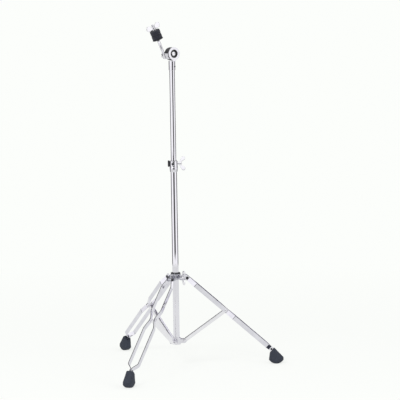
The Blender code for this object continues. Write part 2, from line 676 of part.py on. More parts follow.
def tilter_stem(tilter):
    """The socket on the upper tube, with the tilter's front plate and the web that bears it."""
    bottom = UPPER_TUBE_TOP - SOCKET_DEPTH - TILTER_Z
    top = SOCKET_TOP - TILTER_Z
    tube_end = UPPER_TUBE_TOP + GAP - TILTER_Z
    stem = cylinder("tilter_stem", SOCKET_RADIUS, bottom, top, steps=ROUND_STEPS)
    as_part(place(stem, tilter), "chrome")
    back = FRONT_PLATE_Y + FRONT_PLATE_THICKNESS
    front_disc = cylinder("front_plate", RATCHET_DIAMETER / 2, FRONT_PLATE_Y, back, "Y",
                          steps=ROUND_STEPS)
    join(stem, front_disc)
    low, ledge = top - STEM_WEB_DROP, -RATCHET_DIAMETER / 2 - 2 * GAP
    front, inner = FRONT_PLATE_Y + GAP, STEM_WEB_REACH - SOCKET_RADIUS
    web = [(front, low), (inner, low), (inner, ledge), (back - GAP, ledge),
           (back - GAP, top + STEM_WEB_RISE), (front, top + STEM_WEB_RISE)]
    join(stem, plate("web", web, -STEM_WEB_WIDTH / 2, STEM_WEB_WIDTH / 2, plane="YZ"))
    cut(stem, cylinder("tube_bore", UPPER_RADIUS + GAP, bottom - SOCKET_DEPTH, tube_end,
                       steps=ROUND_STEPS))
    cut(stem, cylinder("recess", RECESS_DIAMETER / 2, FRONT_PLATE_Y * 2, back + GAP / 2, "Y",
                       steps=ROUND_STEPS))


def stem_screw(tilter):
    """The small screw that holds the socket on the tube."""
    height = UPPER_TUBE_TOP - STEM_SCREW_DROP - TILTER_Z
    start = SOCKET_RADIUS + GAP
    screw = cylinder("stem_screw", STEM_SCREW_HEAD / 2, start, start + STEM_SCREW_HEAD_HEIGHT,
                     "X", at=(0, height))
    screw.data.transform(rotation_z(STEM_SCREW_AZIMUTH - TILTER_AZIMUTH))
    as_part(place(screw, tilter), "dark_steel")


def toothed_outline(radius, depth, count):
    """A round outline with even teeth."""
    points = []
    for index in range(count):
        for share, reach in ((0.0, radius - depth), (0.5, radius)):
            angle = 2 * pi * (index + share) / count
            points.append((reach * cos(angle), reach * sin(angle)))
    return points


def ratchet_discs(tilter, arm):
    """The two toothed discs that the bolt clamps together."""
    radius = RATCHET_DIAMETER / 2
    outline = toothed_outline(radius, RATCHET_TOOTH_DEPTH, RATCHET_TEETH)
    for name, low, parent in (("ratchet_lower", LOWER_DISC_Y, tilter),
                              ("ratchet_upper", UPPER_DISC_Y, arm)):
        disc = plate(name, outline, low, low + RATCHET_THICKNESS, plane="XZ")
        as_part(place(disc, parent), "nylon")
        cut(disc, cylinder("bore", TILTER_BOLT_DIAMETER / 2 + GAP, low - GAP,
                           low + RATCHET_THICKNESS + GAP, "Y"))
        if parent == tilter:
            cut(disc, cylinder("recess", RECESS_DIAMETER / 2, low - GAP, low + RECESS_DEPTH,
                               "Y", steps=ROUND_STEPS))


def tilter_bolt(tilter):
    """The bolt through the tilter, with its round head in the recess."""
    seat = LOWER_DISC_Y + RECESS_DEPTH - GAP
    bolt = cylinder("tilter_bolt", TILTER_HEAD_DIAMETER / 2, seat - TILTER_HEAD_HEIGHT, seat,
                    "Y", steps=HUB_STEPS)
    as_part(place(bolt, tilter), "chrome")
    soften(bolt, TILTER_HEAD_ROUNDING, steps=1)
    end = TILTER_NUT_Y + TILTER_NUT["height"] + TILTER_BOLT_PROUD
    join(bolt, cylinder("shank", TILTER_BOLT_DIAMETER / 2, seat - GAP, end, "Y"))


def tilter_washer(tilter):
    low = TILTER_WASHER_Y
    washer = cylinder("tilter_washer", TILTER_WASHER_DIAMETER / 2, low,
                      low + TILTER_WASHER_THICKNESS, "Y", steps=HUB_STEPS)
    as_part(place(washer, tilter), "chrome")
    cut(washer, cylinder("bore", TILTER_BOLT_DIAMETER / 2 + GAP, low - GAP,
                         low + TILTER_WASHER_THICKNESS + GAP, "Y"))


def arm_block(arm):
    """The block that holds the rod: round about the rod and wide at the discs.

    Its sides are parallel to the rod, and its top and bottom are level at the rod's tilt.
    """
    back = ARM_PLATE_Y + ARM_PLATE_THICKNESS - GAP
    inner = -ARM_PLATE_DIAMETER / 4
    outline = arc((-ROD_OFFSET, 0), ARM_BOSS_RADIUS, radians(100), radians(260), 10)
    outline += [(-RATCHET_DIAMETER / 2, -ARM_BLOCK_FRONT), (inner, -ARM_BLOCK_FRONT),
                (inner, back), (-RATCHET_DIAMETER / 2, back)]
    block = place(plate("block", outline, -ROD_OFFSET * 2, ROD_OFFSET * 2), arm)
    level = box("level", (-ROD_OFFSET * 3, -ROD_OFFSET, -ARM_BLOCK_BOTTOM),
                (ROD_OFFSET, ROD_OFFSET, ARM_BLOCK_TOP))
    level.data.transform(Matrix.Rotation(ROD_TILT, 4, "Y"))
    combine(block, level, "INTERSECT")
    return soften(block, ARM_BLOCK_ROUNDING)


def tilter_arm(arm):
    """The back plate and the block that holds the cymbal rod beside the discs."""
    back = ARM_PLATE_Y + ARM_PLATE_THICKNESS
    body = cylinder("tilter_arm", ARM_PLATE_DIAMETER / 2, ARM_PLATE_Y, back, "Y",
                    steps=ROUND_STEPS)
    as_part(place(body, arm), "chrome")
    join(body, arm_block(arm))
    cut(body, cylinder("disc_room", RATCHET_DIAMETER / 2 + ARM_BLOCK_CLEARANCE,
                       -ARM_BLOCK_FRONT * 2, ARM_PLATE_Y, "Y", steps=ROUND_STEPS))
    cut(body, cylinder("bolt_hole", TILTER_BOLT_DIAMETER / 2 + GAP, ARM_PLATE_Y - GAP,
                       back + GAP, "Y"))
    cut(body, cylinder("rod_hole", ROD_DIAMETER / 2 + GAP, -ROD_OFFSET * 2, ROD_OFFSET * 2,
                       at=(-ROD_OFFSET, 0)))
    cut(body, cylinder("screw_hole", SET_SCREW_DIAMETER / 2 + GAP, -ROD_OFFSET * 2,
                       -ROD_OFFSET, "X", at=(0, SET_SCREW_PLACE)))


def set_screw(arm):
    """The screw in the block's round end that holds the rod."""
    screw = cylinder("rod_set_screw", SET_SCREW_DIAMETER / 2,
                     -ROD_OFFSET - ARM_BOSS_RADIUS - SET_SCREW_PROUD,
                     -ROD_OFFSET - ROD_DIAMETER / 2 - GAP, "X", at=(0, SET_SCREW_PLACE))
    as_part(place(screw, arm), "dark_steel")


def cymbal_stack(rod_frame):
    """The rod, and the seat, sleeve and felts that are threaded on it."""
    rod, thread = ROD_DIAMETER / 2, ROD_THREAD_DIAMETER / 2
    profile = [(0, ROD_TIP), (thread - ROD_TIP_CHAMFER, ROD_TIP),
               (thread, ROD_TIP - ROD_TIP_CHAMFER), (thread, ROD_SHOULDER),
               (rod, ROD_SHOULDER), (rod, ROD_LOW), (0, ROD_LOW)]
    as_part(place(turned("cymbal_rod", profile, steps=HUB_STEPS), rod_frame), "chrome")

    bore = thread + GAP
    sleeve = SLEEVE_DIAMETER / 2
    sleeve_low = LOWER_FELT_Z
    sleeve_top = UPPER_FELT_Z + FELT_THICKNESS - GAP
    seat = turned("cymbal_seat", [(SEAT_DIAMETER / 2, SEAT_Z + SEAT_THICKNESS),
                                  (SEAT_DIAMETER / 2, SEAT_Z), (bore, SEAT_Z),
                                  (bore, SEAT_Z + SEAT_THICKNESS)], closed=True)
    as_part(place(seat, rod_frame), "nylon")
    tube = ring("cymbal_sleeve", bore, sleeve, sleeve_low, sleeve_top, steps=HUB_STEPS)
    as_part(place(tube, rod_frame), "nylon")

    for name, felt_low in (("lower_felt", LOWER_FELT_Z), ("upper_felt", UPPER_FELT_Z)):
        outer, inner = FELT_DIAMETER / 2, sleeve + GAP
        high = felt_low + FELT_THICKNESS
        profile = [(outer - FELT_EDGE, high), (outer, high - FELT_EDGE),
                   (outer, felt_low + FELT_EDGE), (outer - FELT_EDGE, felt_low),
                   (inner, felt_low), (inner, high)]
        felt = turned(name, profile, closed=True)
        as_part(place(felt, rod_frame), "felt")


def leg_collar(slide):
    """The sliding casting: a ring with a lug for each leg and a boss for its wing screw."""
    low = LEG_PIVOT_Z - COLLAR_LUG_DROP
    high = low + COLLAR_HEIGHT
    body = cylinder("leg_collar", COLLAR_RADIUS, low, high, steps=ROUND_STEPS)
    as_part(place(body, slide), "chrome")
    half = LUG_HEIGHT / 2
    outline = arc((LEG_PIVOT_RADIUS, LEG_PIVOT_Z), half, -pi / 2, pi / 2, 8)
    inner = COLLAR_BORE - GAP
    outline = [(inner, LEG_PIVOT_Z - half)] + outline + [(inner, LEG_PIVOT_Z + half)]
    middle = (COLLAR_BORE + COLLAR_RADIUS) / 2
    screw_z = LEG_PIVOT_Z + COLLAR_SCREW_RISE
    for azimuth in LEG_AZIMUTHS.values():
        lug = plate("lug", outline, -LUG_WIDTH / 2, LUG_WIDTH / 2, plane="XZ")
        lug.data.transform(rotation_z(azimuth))
        join(body, lug)
    boss = cylinder("boss", COLLAR_BOSS_DIAMETER / 2, middle, COLLAR_RADIUS + COLLAR_SCREW_BOSS,
                    "X", steps=HUB_STEPS, at=(0, screw_z))
    boss.data.transform(rotation_z(COLLAR_SCREW_AZIMUTH))
    join(body, boss)
    cut(body, cylinder("bore", COLLAR_BORE, low - COLLAR_HEIGHT, high + COLLAR_HEIGHT,
                       steps=ROUND_STEPS))
    screw_hole = cylinder("screw_hole", COLLAR_SCREW_DIAMETER / 2 + GAP, BASE_RADIUS / 2,
                          COLLAR_RADIUS * 2, "X", at=(0, screw_z))
    screw_hole.data.transform(rotation_z(COLLAR_SCREW_AZIMUTH))
    cut(body, screw_hole)
    for azimuth in LEG_AZIMUTHS.values():
        hole = cylinder("pin_hole", PIN_DIAMETER / 2 + GAP, -LUG_WIDTH, LUG_WIDTH, "Y",
                        at=(LEG_PIVOT_RADIUS, LEG_PIVOT_Z))
        hole.data.transform(rotation_z(azimuth))
        cut(body, hole)


def collar_bush(slide):
    """The nylon bush inside the collar, with a flange on top."""
    low = LEG_PIVOT_Z - COLLAR_LUG_DROP
    seat = low + COLLAR_HEIGHT + GAP
    top = seat + COLLAR_FLANGE_HEIGHT
    flange = COLLAR_RADIUS - COLLAR_FLANGE_STEP
    outer = COLLAR_BORE - GAP
    profile = [(flange, top), (flange, seat), (outer, seat), (outer, low),
               (COLLAR_BUSH_BORE, low), (COLLAR_BUSH_BORE, top)]
    bush = turned("collar_bush", profile, closed=True)
    as_part(place(bush, slide), "nylon")
    hole = cylinder("screw_hole", COLLAR_SCREW_DIAMETER / 2 + GAP, BASE_RADIUS / 2,
                    COLLAR_RADIUS * 2, "X", at=(0, LEG_PIVOT_Z + COLLAR_SCREW_RISE))
    hole.data.transform(rotation_z(COLLAR_SCREW_AZIMUTH))
    cut(bush, hole)


def rivet(name, diameter, head, head_height, reach, parent, location, finish):
    """A rivet along Y, with a low tapered head beyond `reach` on both sides."""
    under = reach + GAP
    top = under + head_height
    upper = [(0, top), (head / 2 * RIVET_CROWN, top), (head / 2, under), (diameter / 2, under)]
    lower = [(radius, -height) for radius, height in reversed(upper)]
    body = turned(name, upper + lower, steps=SMALL_STEPS)
    as_part(place(body, parent, location, (pi / 2, 0, 0)), finish)


def strip_path(side):
    """The middle of one leg strip, as (along the leg, sideways)."""
    end = FOOT_NECK_DISTANCE + STRIP_FOOT_DEPTH
    corners = [(-STRIP_TOP_OVERHANG, STRIP_LUG), (RIVET_HEAD_DIAMETER / 2, STRIP_LUG),
               (TOP_FLARE, STRIP_OUT), (BRACE_DISTANCE - BRACE_TAPER, STRIP_OUT),
               (BRACE_DISTANCE - RIVET_HEAD_DIAMETER / 2, STRIP_IN),
               (BRACE_DISTANCE + RIVET_HEAD_DIAMETER / 2, STRIP_IN),
               (BRACE_DISTANCE + BRACE_TAPER, STRIP_OUT), (ANKLE_DISTANCE, STRIP_OUT),
               (ANKLE_DISTANCE + ANKLE_TAPER, STRIP_ANKLE), (end, STRIP_ANKLE)]
    return rounded_path([(along, side * across) for along, across in corners], BEND_RADIUS)


def round_end(obj, end, radius):
    """Round the corners of a strip's end, seen square to its flat side."""
    builder = bmesh.new()
    builder.from_mesh(obj.data)
    corners = []
    for edge in builder.edges:
        first, second = edge.verts
        at_end = abs(first.co.x - end) < MERGE and abs(second.co.x - end) < MERGE
        if at_end and abs(first.co.z - second.co.z) < MERGE:
            corners.append(edge)
    bmesh.ops.bevel(builder, geom=corners, offset=radius, segments=STRIP_END_STEPS,
                    profile=ROUND_PROFILE, affect="EDGES")
    builder.to_mesh(obj.data)
    builder.free()


def leg_strip(name, side, leg):
    outline = ribbon(strip_path(side), STRIP_THICKNESS)
    strip = plate(name, outline, -STRIP_WIDTH / 2, STRIP_WIDTH / 2)
    round_end(strip, -STRIP_TOP_OVERHANG, STRIP_END_RADIUS)
    as_part(place(strip, leg), "chrome")
    reach = STRIP_SPREAD
    for label, along, diameter in (("pivot_hole", 0.0, PIN_DIAMETER),
                                   ("brace_hole", BRACE_DISTANCE, PIN_DIAMETER),
                                   ("foot_hole", FOOT_RIVET_DISTANCE, FOOT_RIVET_DIAMETER)):
        cut(strip, cylinder(label, diameter / 2 + GAP, -reach, reach, "Y", at=(along, 0)))


def foot_point(along, above):
    """A point of the leg's plane in the foot's upright frame, as (outward, up)."""
    along -= LEG_REACH
    above += SOLE_DROP
    outward = along * sin(LEG_SPREAD) + above * cos(LEG_SPREAD)
    up = -along * cos(LEG_SPREAD) + above * sin(LEG_SPREAD)
    return Vector((outward, up))


def on_line(first, second, up):
    """Where a straight line through two (outward, up) points is at a height."""
    return first.lerp(second, (up - first.y) / (second.y - first.y)).x


def foot_sections():
    """The foot's level oval sections from the floor up, as (heel, toe, width, height)."""
    half, flat = FOOT_LENGTH / 2, FOOT_FLAT_LENGTH / 2
    sections = []
    for index in range(FOOT_SOLE_STEPS + 1):
        share = index / FOOT_SOLE_STEPS
        reach = flat + (half - flat) * share
        width = FOOT_FLAT_WIDTH + (FOOT_SOLE_WIDTH - FOOT_FLAT_WIDTH) * share
        sections.append((-reach, reach, width, FOOT_SOLE_RISE * share * share))
    heel = Vector((-half, FOOT_SOLE_RISE))
    toe = Vector((half, FOOT_SOLE_RISE + FOOT_TOE_WALL))
    neck_back = foot_point(FOOT_NECK_DISTANCE, -FOOT_NECK_BOTTOM)
    neck_front = foot_point(FOOT_NECK_DISTANCE, FOOT_NECK_TOP)
    widest = Vector((FOOT_SOLE_WIDTH, FOOT_SOLE_RISE))
    narrowest = Vector((FOOT_TOP_WIDTH, (neck_back.y + neck_front.y) / 2))
    for up in (toe.y, neck_front.y + FOOT_ROUNDING):
        sections.append((on_line(heel, neck_back, up), on_line(toe, neck_front, up),
                         on_line(widest, narrowest, up), up))
    return sections


def squarer(share):
    """Push a sine or cosine outwards, from an ellipse towards a rectangle."""
    return copysign(abs(share) ** (2 / FOOT_SQUARENESS), share)


def rubber_foot(name, foot_frame):
    """A foot joined from oval sections, cut off square to the leg, with the strips' slot."""
    neck = foot_point(FOOT_NECK_DISTANCE, 0)

    def build(builder):
        loops = []
        for heel, toe, width, height in foot_sections():
            circle = bmesh.ops.create_circle(builder, segments=FOOT_STEPS, radius=1.0)["verts"]
            loops.append(list({edge for vert in circle for edge in vert.link_edges}))
            for vert in circle:
                vert.co = ((heel + toe) / 2 + squarer(vert.co.x) * (toe - heel) / 2,
                           squarer(vert.co.y) * width / 2, height)
        for lower, upper in zip(loops, loops[1:]):
            bmesh.ops.bridge_loops(builder, edges=lower + upper)
        bmesh.ops.edgeloop_fill(builder, edges=loops[0])
        geometry = builder.verts[:] + builder.edges[:] + builder.faces[:]
        halved = bmesh.ops.bisect_plane(builder, geom=geometry, plane_co=(neck.x, 0, neck.y),
                                        plane_no=(-sin(LEG_SPREAD), 0, cos(LEG_SPREAD)),
                                        clear_outer=True)["geom_cut"]
        rim = [item for item in halved if isinstance(item, bmesh.types.BMEdge)]
        bmesh.ops.edgeloop_fill(builder, edges=rim)
        bmesh.ops.recalc_face_normals(builder, faces=builder.faces)

    foot = mesh_object(name, build)
    as_part(place(foot, foot_frame), "rubber")
    soften(foot, FOOT_ROUNDING, angle=60)
    reach = STRIP_ANKLE + STRIP_THICKNESS / 2 + GAP
    slot = box("slot", (FOOT_NECK_DISTANCE - STRIP_FOOT_DEPTH, -reach, -STRIP_WIDTH / 2 - GAP),
               (FOOT_NECK_DISTANCE + STRIP_FOOT_DEPTH + GAP, reach, STRIP_WIDTH / 2 + GAP))
    slot.data.transform(Matrix.Rotation(pi / 2 - LEG_SPREAD, 4, "Y")
                        @ Matrix.Translation((-LEG_REACH, 0, SOLE_DROP)))
    cut(foot, slot)


def strut(name, strut_frame):
    """A channel from the leg's rivet, at zero, to the bracket's pin; local +X points in."""
    half, wall = STRUT_WIDTH / 2, STRUT_WALL
    low, high = -STRUT_HEIGHT / 2, STRUT_HEIGHT / 2
    section = [(-half, low), (-half, high), (half, high), (half, low), (half - wall, low),
               (half - wall, high - wall), (wall - half, high - wall), (wall - half, low)]
    channel = plate(name, section, -STRUT_END, STRUT_LENGTH + STRUT_END, plane="YZ")
    as_part(place(channel, strut_frame), "chrome")
    for label, along in (("rivet_hole", 0.0), ("pin_hole", STRUT_LENGTH)):
        cut(channel, cylinder(label, PIN_DIAMETER / 2 + GAP, -STRUT_WIDTH, STRUT_WIDTH, "Y",
                              at=(along, 0)))


def leg_parts(label, slide):
    """One leg: hinge on the collar, two strips, foot, strut and their pins."""
    azimuth = LEG_AZIMUTHS[label]
    side_frame = empty("leg_%s_direction" % label, slide, rotation=(0, 0, azimuth))
    below_level = pi / 2 - LEG_SPREAD
    leg = empty("leg_%s_hinge" % label, side_frame, (LEG_PIVOT_RADIUS, 0, LEG_PIVOT_Z),
                (0, below_level, 0))
    pin_reach = STRIP_LUG + STRIP_THICKNESS / 2
    rivet("leg_pin_" + label, PIN_DIAMETER, RIVET_HEAD_DIAMETER, RIVET_HEAD_HEIGHT, pin_reach,
          side_frame, (LEG_PIVOT_RADIUS, 0, LEG_PIVOT_Z), "dark_steel")
    leg_strip("leg_strip_%s_left" % label, 1, leg)
    leg_strip("leg_strip_%s_right" % label, -1, leg)
    rivet("brace_rivet_" + label, PIN_DIAMETER, RIVET_HEAD_DIAMETER, RIVET_HEAD_HEIGHT,
          STRIP_IN + STRIP_THICKNESS / 2, leg, (BRACE_DISTANCE, 0, 0), "chrome")
    rivet("foot_rivet_" + label, FOOT_RIVET_DIAMETER, FOOT_RIVET_HEAD, FOOT_RIVET_HEAD_HEIGHT,
          STRIP_ANKLE + STRIP_THICKNESS / 2, leg, (FOOT_RIVET_DISTANCE, 0, 0), "dark_steel")
    foot_frame = empty("foot_%s_frame" % label, leg, (LEG_REACH, 0, -SOLE_DROP),
                       (0, -below_level, 0))
    rubber_foot("foot_" + label, foot_frame)
    strut_below = pi / 2 - STRUT_SPREAD
    strut_frame = empty("strut_%s_hinge" % label, leg, (BRACE_DISTANCE, 0, 0),
                        (0, pi - strut_below - below_level, 0))
    strut("strut_" + label, strut_frame)
    pin = cylinder("strut_pin_" + label, PIN_DIAMETER / 2, -STRUT_WIDTH / 2, STRUT_WIDTH / 2,
                   "Y")
    as_part(place(pin, strut_frame, (STRUT_LENGTH, 0, 0)), "dark_steel")


def centre_on_floor(stand):
    """Move the whole stand so that its outline is centred on the origin."""
    bpy.context.view_layer.update()
    graph = bpy.context.evaluated_depsgraph_get()
    xs, ys = [], []
    for obj in PARTS.objects:
        if obj.type != "MESH":
            continue
        evaluated = obj.evaluated_get(graph)
        for vert in evaluated.data.vertices:
            point = evaluated.matrix_world @ vert.co
            xs.append(point.x)
            ys.append(point.y)
    stand.location.x -= (min(xs) + max(xs)) / 2
    stand.location.y -= (min(ys) + max(ys)) / 2
    bpy.context.view_layer.update()


def build():
    stand = empty("stand")
    tube_slide = empty("upper_tube_slide", stand)
    upper = empty("upper_tube_swivel", tube_slide)
    tube_parts(stand, upper)
    guide_bush(tube_slide)
    lower_bracket(stand)
    clamp_frame = empty("height_clamp_frame", stand, (0, 0, BASE_TUBE_TOP))
    height_clamp(clamp_frame)
    clamp_bush(clamp_frame)
    clamp_bolt(clamp_frame)
    nut_x = CLAMP_SLIT / 2 + CLAMP_EAR_THICKNESS + GAP
    wing_piece("height_wing_nut", HEIGHT_NUT, clamp_frame,
               (nut_x, CLAMP_BOLT_Y, CLAMP_BOLT_Z), (0, pi / 2, 0))

    tilter = empty("tilter_frame", upper, (0, 0, TILTER_Z), (0, 0, TILTER_AZIMUTH))
    arm = empty("tilter_arm_hinge", tilter, rotation=(0, -ROD_TILT, 0))
    tilter_stem(tilter)
    stem_screw(tilter)
    ratchet_discs(tilter, arm)
    tilter_bolt(tilter)
    tilter_washer(tilter)
    wing_piece("tilter_wing_nut", TILTER_NUT, tilter, (0, TILTER_NUT_Y, 0), (-pi / 2, 0, 0))
    tilter_arm(arm)
    set_screw(arm)
    rod_frame = empty("rod_frame", arm, (-ROD_OFFSET, 0, 0))
    cymbal_stack(rod_frame)
    wing_piece("cymbal_wing_nut", CYMBAL_NUT, rod_frame, (0, 0, CYMBAL_NUT_Z), (0, 0, 0))

    slide = empty("collar_slide", stand)
    leg_collar(slide)
    collar_bush(slide)
    screw_frame = empty("collar_screw_direction", slide, rotation=(0, 0, COLLAR_SCREW_AZIMUTH))
    hub_x = COLLAR_RADIUS + COLLAR_SCREW_BOSS + GAP
    wing_piece("collar_wing_screw", COLLAR_SCREW, screw_frame,
               (hub_x, 0, LEG_PIVOT_Z + COLLAR_SCREW_RISE), (0, pi / 2, 0),
               shank=(hub_x - BASE_RADIUS - GAP, COLLAR_SCREW_DIAMETER))
    for label in LEG_AZIMUTHS:
        leg_parts(label, slide)
    centre_on_floor(stand)


clear_scene()
PARTS = collection("cymbal_stand")
TOOLS = collection("cutters")
build()
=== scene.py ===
"""The looks of a chrome cymbal stand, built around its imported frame. Metres, +Z up."""
import json
from math import atan2, cos, pi, radians, sin, tau

import bpy
from mathutils import Matrix, Vector


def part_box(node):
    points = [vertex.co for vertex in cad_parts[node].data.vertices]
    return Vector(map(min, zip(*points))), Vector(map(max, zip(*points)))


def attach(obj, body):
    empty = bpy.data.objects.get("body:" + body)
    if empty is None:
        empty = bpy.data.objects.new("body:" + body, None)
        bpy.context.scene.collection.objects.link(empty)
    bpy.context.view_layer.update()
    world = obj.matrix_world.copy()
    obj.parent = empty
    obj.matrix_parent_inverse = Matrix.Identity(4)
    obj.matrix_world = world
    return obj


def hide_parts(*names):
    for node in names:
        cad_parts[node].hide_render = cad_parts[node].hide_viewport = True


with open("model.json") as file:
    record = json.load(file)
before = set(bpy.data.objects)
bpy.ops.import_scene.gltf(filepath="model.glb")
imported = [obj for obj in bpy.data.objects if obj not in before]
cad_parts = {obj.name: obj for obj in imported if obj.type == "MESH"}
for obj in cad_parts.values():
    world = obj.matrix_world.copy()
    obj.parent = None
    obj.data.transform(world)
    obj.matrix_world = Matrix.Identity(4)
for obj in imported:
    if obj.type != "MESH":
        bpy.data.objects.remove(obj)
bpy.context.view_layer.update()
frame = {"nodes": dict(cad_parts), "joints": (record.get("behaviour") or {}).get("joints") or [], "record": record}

record = frame["record"]
JOINTS = {joint["name"]: joint for joint in frame["joints"]}
BODY_OF = {part: body for body, parts in record["behaviour"]["bodies"].items() for part in parts}

# Sides of the turned pieces
TUBE_SIDES = 96                 # of the tubes, the bushes, the washer and the felts' seat
FELT_SIDES = 144
BOLT_SIDES = 64
ROD_SIDES = 48
RIVET_SIDES = 40

# Edges and fits
MERGE = 0.000005                # points that lie closer than this become one
RIM = 0.0003                    # rounding of a turned edge
CLEARANCE = 0.0003              # between a turned piece and its neighbour
TURNED_SMOOTH = radians(40)     # edges that turn by less are shaded smooth
PRESSED_SMOOTH = radians(35)
THREAD_SMOOTH = radians(50)

# The skin of a casting: its grain, and how often it is smoothed
CAST_SKIN = (0.0004, 12)
WING_SKIN = (0.00035, 18)
FOOT_SKIN = (0.0008, 10)
SKIN_FLOW = 0.5                 # how far each smoothing goes


# ---- places

def only(piece):
    """Select one piece alone."""
    bpy.ops.object.select_all(action="DESELECT")
    piece.select_set(True)
    bpy.context.view_layer.objects.active = piece


def settle(piece, place):
    """Put a piece in its place and leave its object at the origin."""
    only(piece)
    piece.matrix_world = place
    bpy.ops.object.transform_apply(location=True, rotation=True, scale=True)
    return piece


def place_at(origin, along_y, along_z):
    """A place with its own Y and Z directions."""
    y = Vector(along_y).normalized()
    x = y.cross(Vector(along_z)).normalized()
    turn = Matrix((x, y, x.cross(y))).transposed()
    return Matrix.Translation(origin) @ turn.to_4x4()


def axle_at(origin, axis):
    """A place whose Z runs along an axle."""
    turn = Vector(axis).to_track_quat("Z", "X").to_matrix()
    return Matrix.Translation(origin) @ turn.to_4x4()


def corners_in(place, part):
    """The lowest and highest corners of a frame part, in a place's own directions."""
    back = place.inverted()
    points = [back @ vert.co for vert in frame["nodes"][part].data.vertices]
    low = Vector([min(point[i] for point in points) for i in range(3)])
    high = Vector([max(point[i] for point in points) for i in range(3)])
    return low, high


TILT = JOINTS["tilt"]
ROD_TOP = JOINTS["cymbal_wing_nut_spin"]
MAST = Matrix.Translation((TILT["pos_m"][0], TILT["pos_m"][1], 0))
TILTER_AXLE = place_at(TILT["pos_m"], TILT["axis"], (0, 0, 1)) @ Matrix.Rotation(pi / 2, 4, "X")
ROD = place_at(ROD_TOP["pos_m"], TILT["axis"], ROD_TOP["axis"])


def radius_of(part, place=MAST):
    """How far a frame part reaches from a place's Z."""
    low, high = corners_in(place, part)
    return max(high.x, high.y, -low.x, -low.y)


# ---- shaping

def start_ring(name, ring, sides, fill):
    """Start a turned piece with its first ring, and stay in edit mode."""
    radius, height = ring
    bpy.ops.object.select_all(action="DESELECT")
    bpy.ops.mesh.primitive_circle_add(vertices=sides, radius=radius, fill_type=fill,
                                      location=(0, 0, height))
    piece = bpy.context.active_object
    piece.name = name
    piece.data.name = name
    bpy.ops.object.transform_apply(location=True, rotation=False, scale=False)
    bpy.ops.object.mode_set(mode="EDIT")
    bpy.ops.mesh.select_all(action="SELECT")
    return piece


def grow(rings):
    """Extrude the selected ring through the rings of a turned profile."""
    for (radius, height), (next_radius, next_height) in zip(rings, rings[1:]):
        lift = {"value": (0, 0, next_height - height)}
        bpy.ops.mesh.extrude_region_move(TRANSFORM_OT_translate=lift)
        share = next_radius / radius
        bpy.ops.transform.resize(value=(share, share, 1), center_override=(0, 0, next_height))


def close_mesh():
    """Join the points that meet, turn all faces outwards and leave edit mode."""
    bpy.ops.mesh.select_all(action="SELECT")
    bpy.ops.mesh.remove_doubles(threshold=MERGE)
    bpy.ops.mesh.normals_make_consistent(inside=False)
    bpy.ops.object.mode_set(mode="OBJECT")


def turned(name, rings, place, sides=RIVET_SIDES):
    """A solid turned on its own Z through (radius, height) rings."""
    piece = start_ring(name, rings[0], sides, "NGON")
    grow(rings)
    close_mesh()
    bpy.ops.object.shade_smooth_by_angle(angle=TURNED_SMOOTH)
    return settle(piece, place)


def turned_ring(name, rings, place, sides=TUBE_SIDES):
    """A ring turned on its own Z, whose profile closes on itself."""
    piece = start_ring(name, rings[0], sides, "NOTHING")
    grow(rings + rings[:1])
    close_mesh()
    bpy.ops.object.shade_smooth_by_angle(angle=TURNED_SMOOTH)
    return settle(piece, place)


def tube_rings(inner, outer, low, high):
    """A tube's profile with both ends' edges rounded."""
    return [(outer - RIM, low), (outer, low + RIM), (outer, high - RIM), (outer - RIM, high),
            (inner + RIM, high), (inner, high - RIM), (inner, low + RIM), (inner + RIM, low)]


def apply_modifiers(piece):
    """Make a piece's modifiers part of its mesh."""
    only(piece)
    for modifier in list(piece.modifiers):
        bpy.ops.object.modifier_apply(modifier=modifier.name)


def copy_of(part, name):
    """A merged copy of a frame part, to be refined."""
    only(frame["nodes"][part])
    bpy.ops.object.duplicate()
    piece = bpy.context.active_object
    piece.name = name
    piece.data.name = name
    piece.parent = None
    for key in list(piece.keys()):
        del piece[key]
    bpy.ops.mesh.customdata_custom_splitnormals_clear()
    bpy.ops.object.mode_set(mode="EDIT")
    bpy.ops.mesh.select_all(action="SELECT")
    bpy.ops.mesh.remove_doubles(threshold=MERGE)
    bpy.ops.object.mode_set(mode="OBJECT")
    return piece


def cast_piece(part, skin=CAST_SKIN):
    """A casting: one even skin with every edge rounded."""
    grain, rounds = skin
    piece = copy_of(part, "cast_" + part)
    even = piece.modifiers.new("skin", "REMESH")
    even.mode = "VOXEL"
    even.voxel_size = grain
    flow = piece.modifiers.new("flow", "SMOOTH")
    flow.factor = SKIN_FLOW
    flow.iterations = rounds
    apply_modifiers(piece)
    bpy.ops.object.shade_smooth()
    return piece


def pressed_piece(part, edge, steps=2, sharpest=35):
    """A pressed, cut or moulded piece. Edges that turn by more than the sharpest are eased."""
    piece = copy_of(part, "pressed_" + part)
    ease = piece.modifiers.new("eased", "BEVEL")
    ease.width = edge
    ease.segments = steps
    ease.limit_method = "ANGLE"
    ease.angle_limit = radians(sharpest)
    apply_modifiers(piece)
    bpy.ops.object.shade_smooth_by_angle(angle=PRESSED_SMOOTH)
    level = piece.modifiers.new("level", "WEIGHTED_NORMAL")
    level.keep_sharp = True
    apply_modifiers(piece)
    return piece


def socket_in(piece, across, depth, place):
    """Sink a hexagon socket into a screw's head, from a place on it whose Z points out."""
    length = depth * 2          # half of it stands out of the head
    bpy.ops.object.select_all(action="DESELECT")
    bpy.ops.mesh.primitive_cylinder_add(vertices=6, radius=across / 2, depth=length)
    tool = settle(bpy.context.active_object, place)
    sink = piece.modifiers.new("socket", "BOOLEAN")
    sink.operation = "DIFFERENCE"
    sink.object = tool
    apply_modifiers(piece)
    bpy.data.objects.remove(tool)


# ---- materials

def add(tree, kind, options=None, values=None, links=None):
    """Add a node with its options, its socket values and its links."""
    made = tree.nodes.new(kind)
    for name, value in (options or {}).items():
        setattr(made, name, value)
    for name, value in (values or {}).items():
        made.inputs[name].default_value = value
    for name, source in (links or {}).items():
        tree.links.new(source, made.inputs[name])
    return made


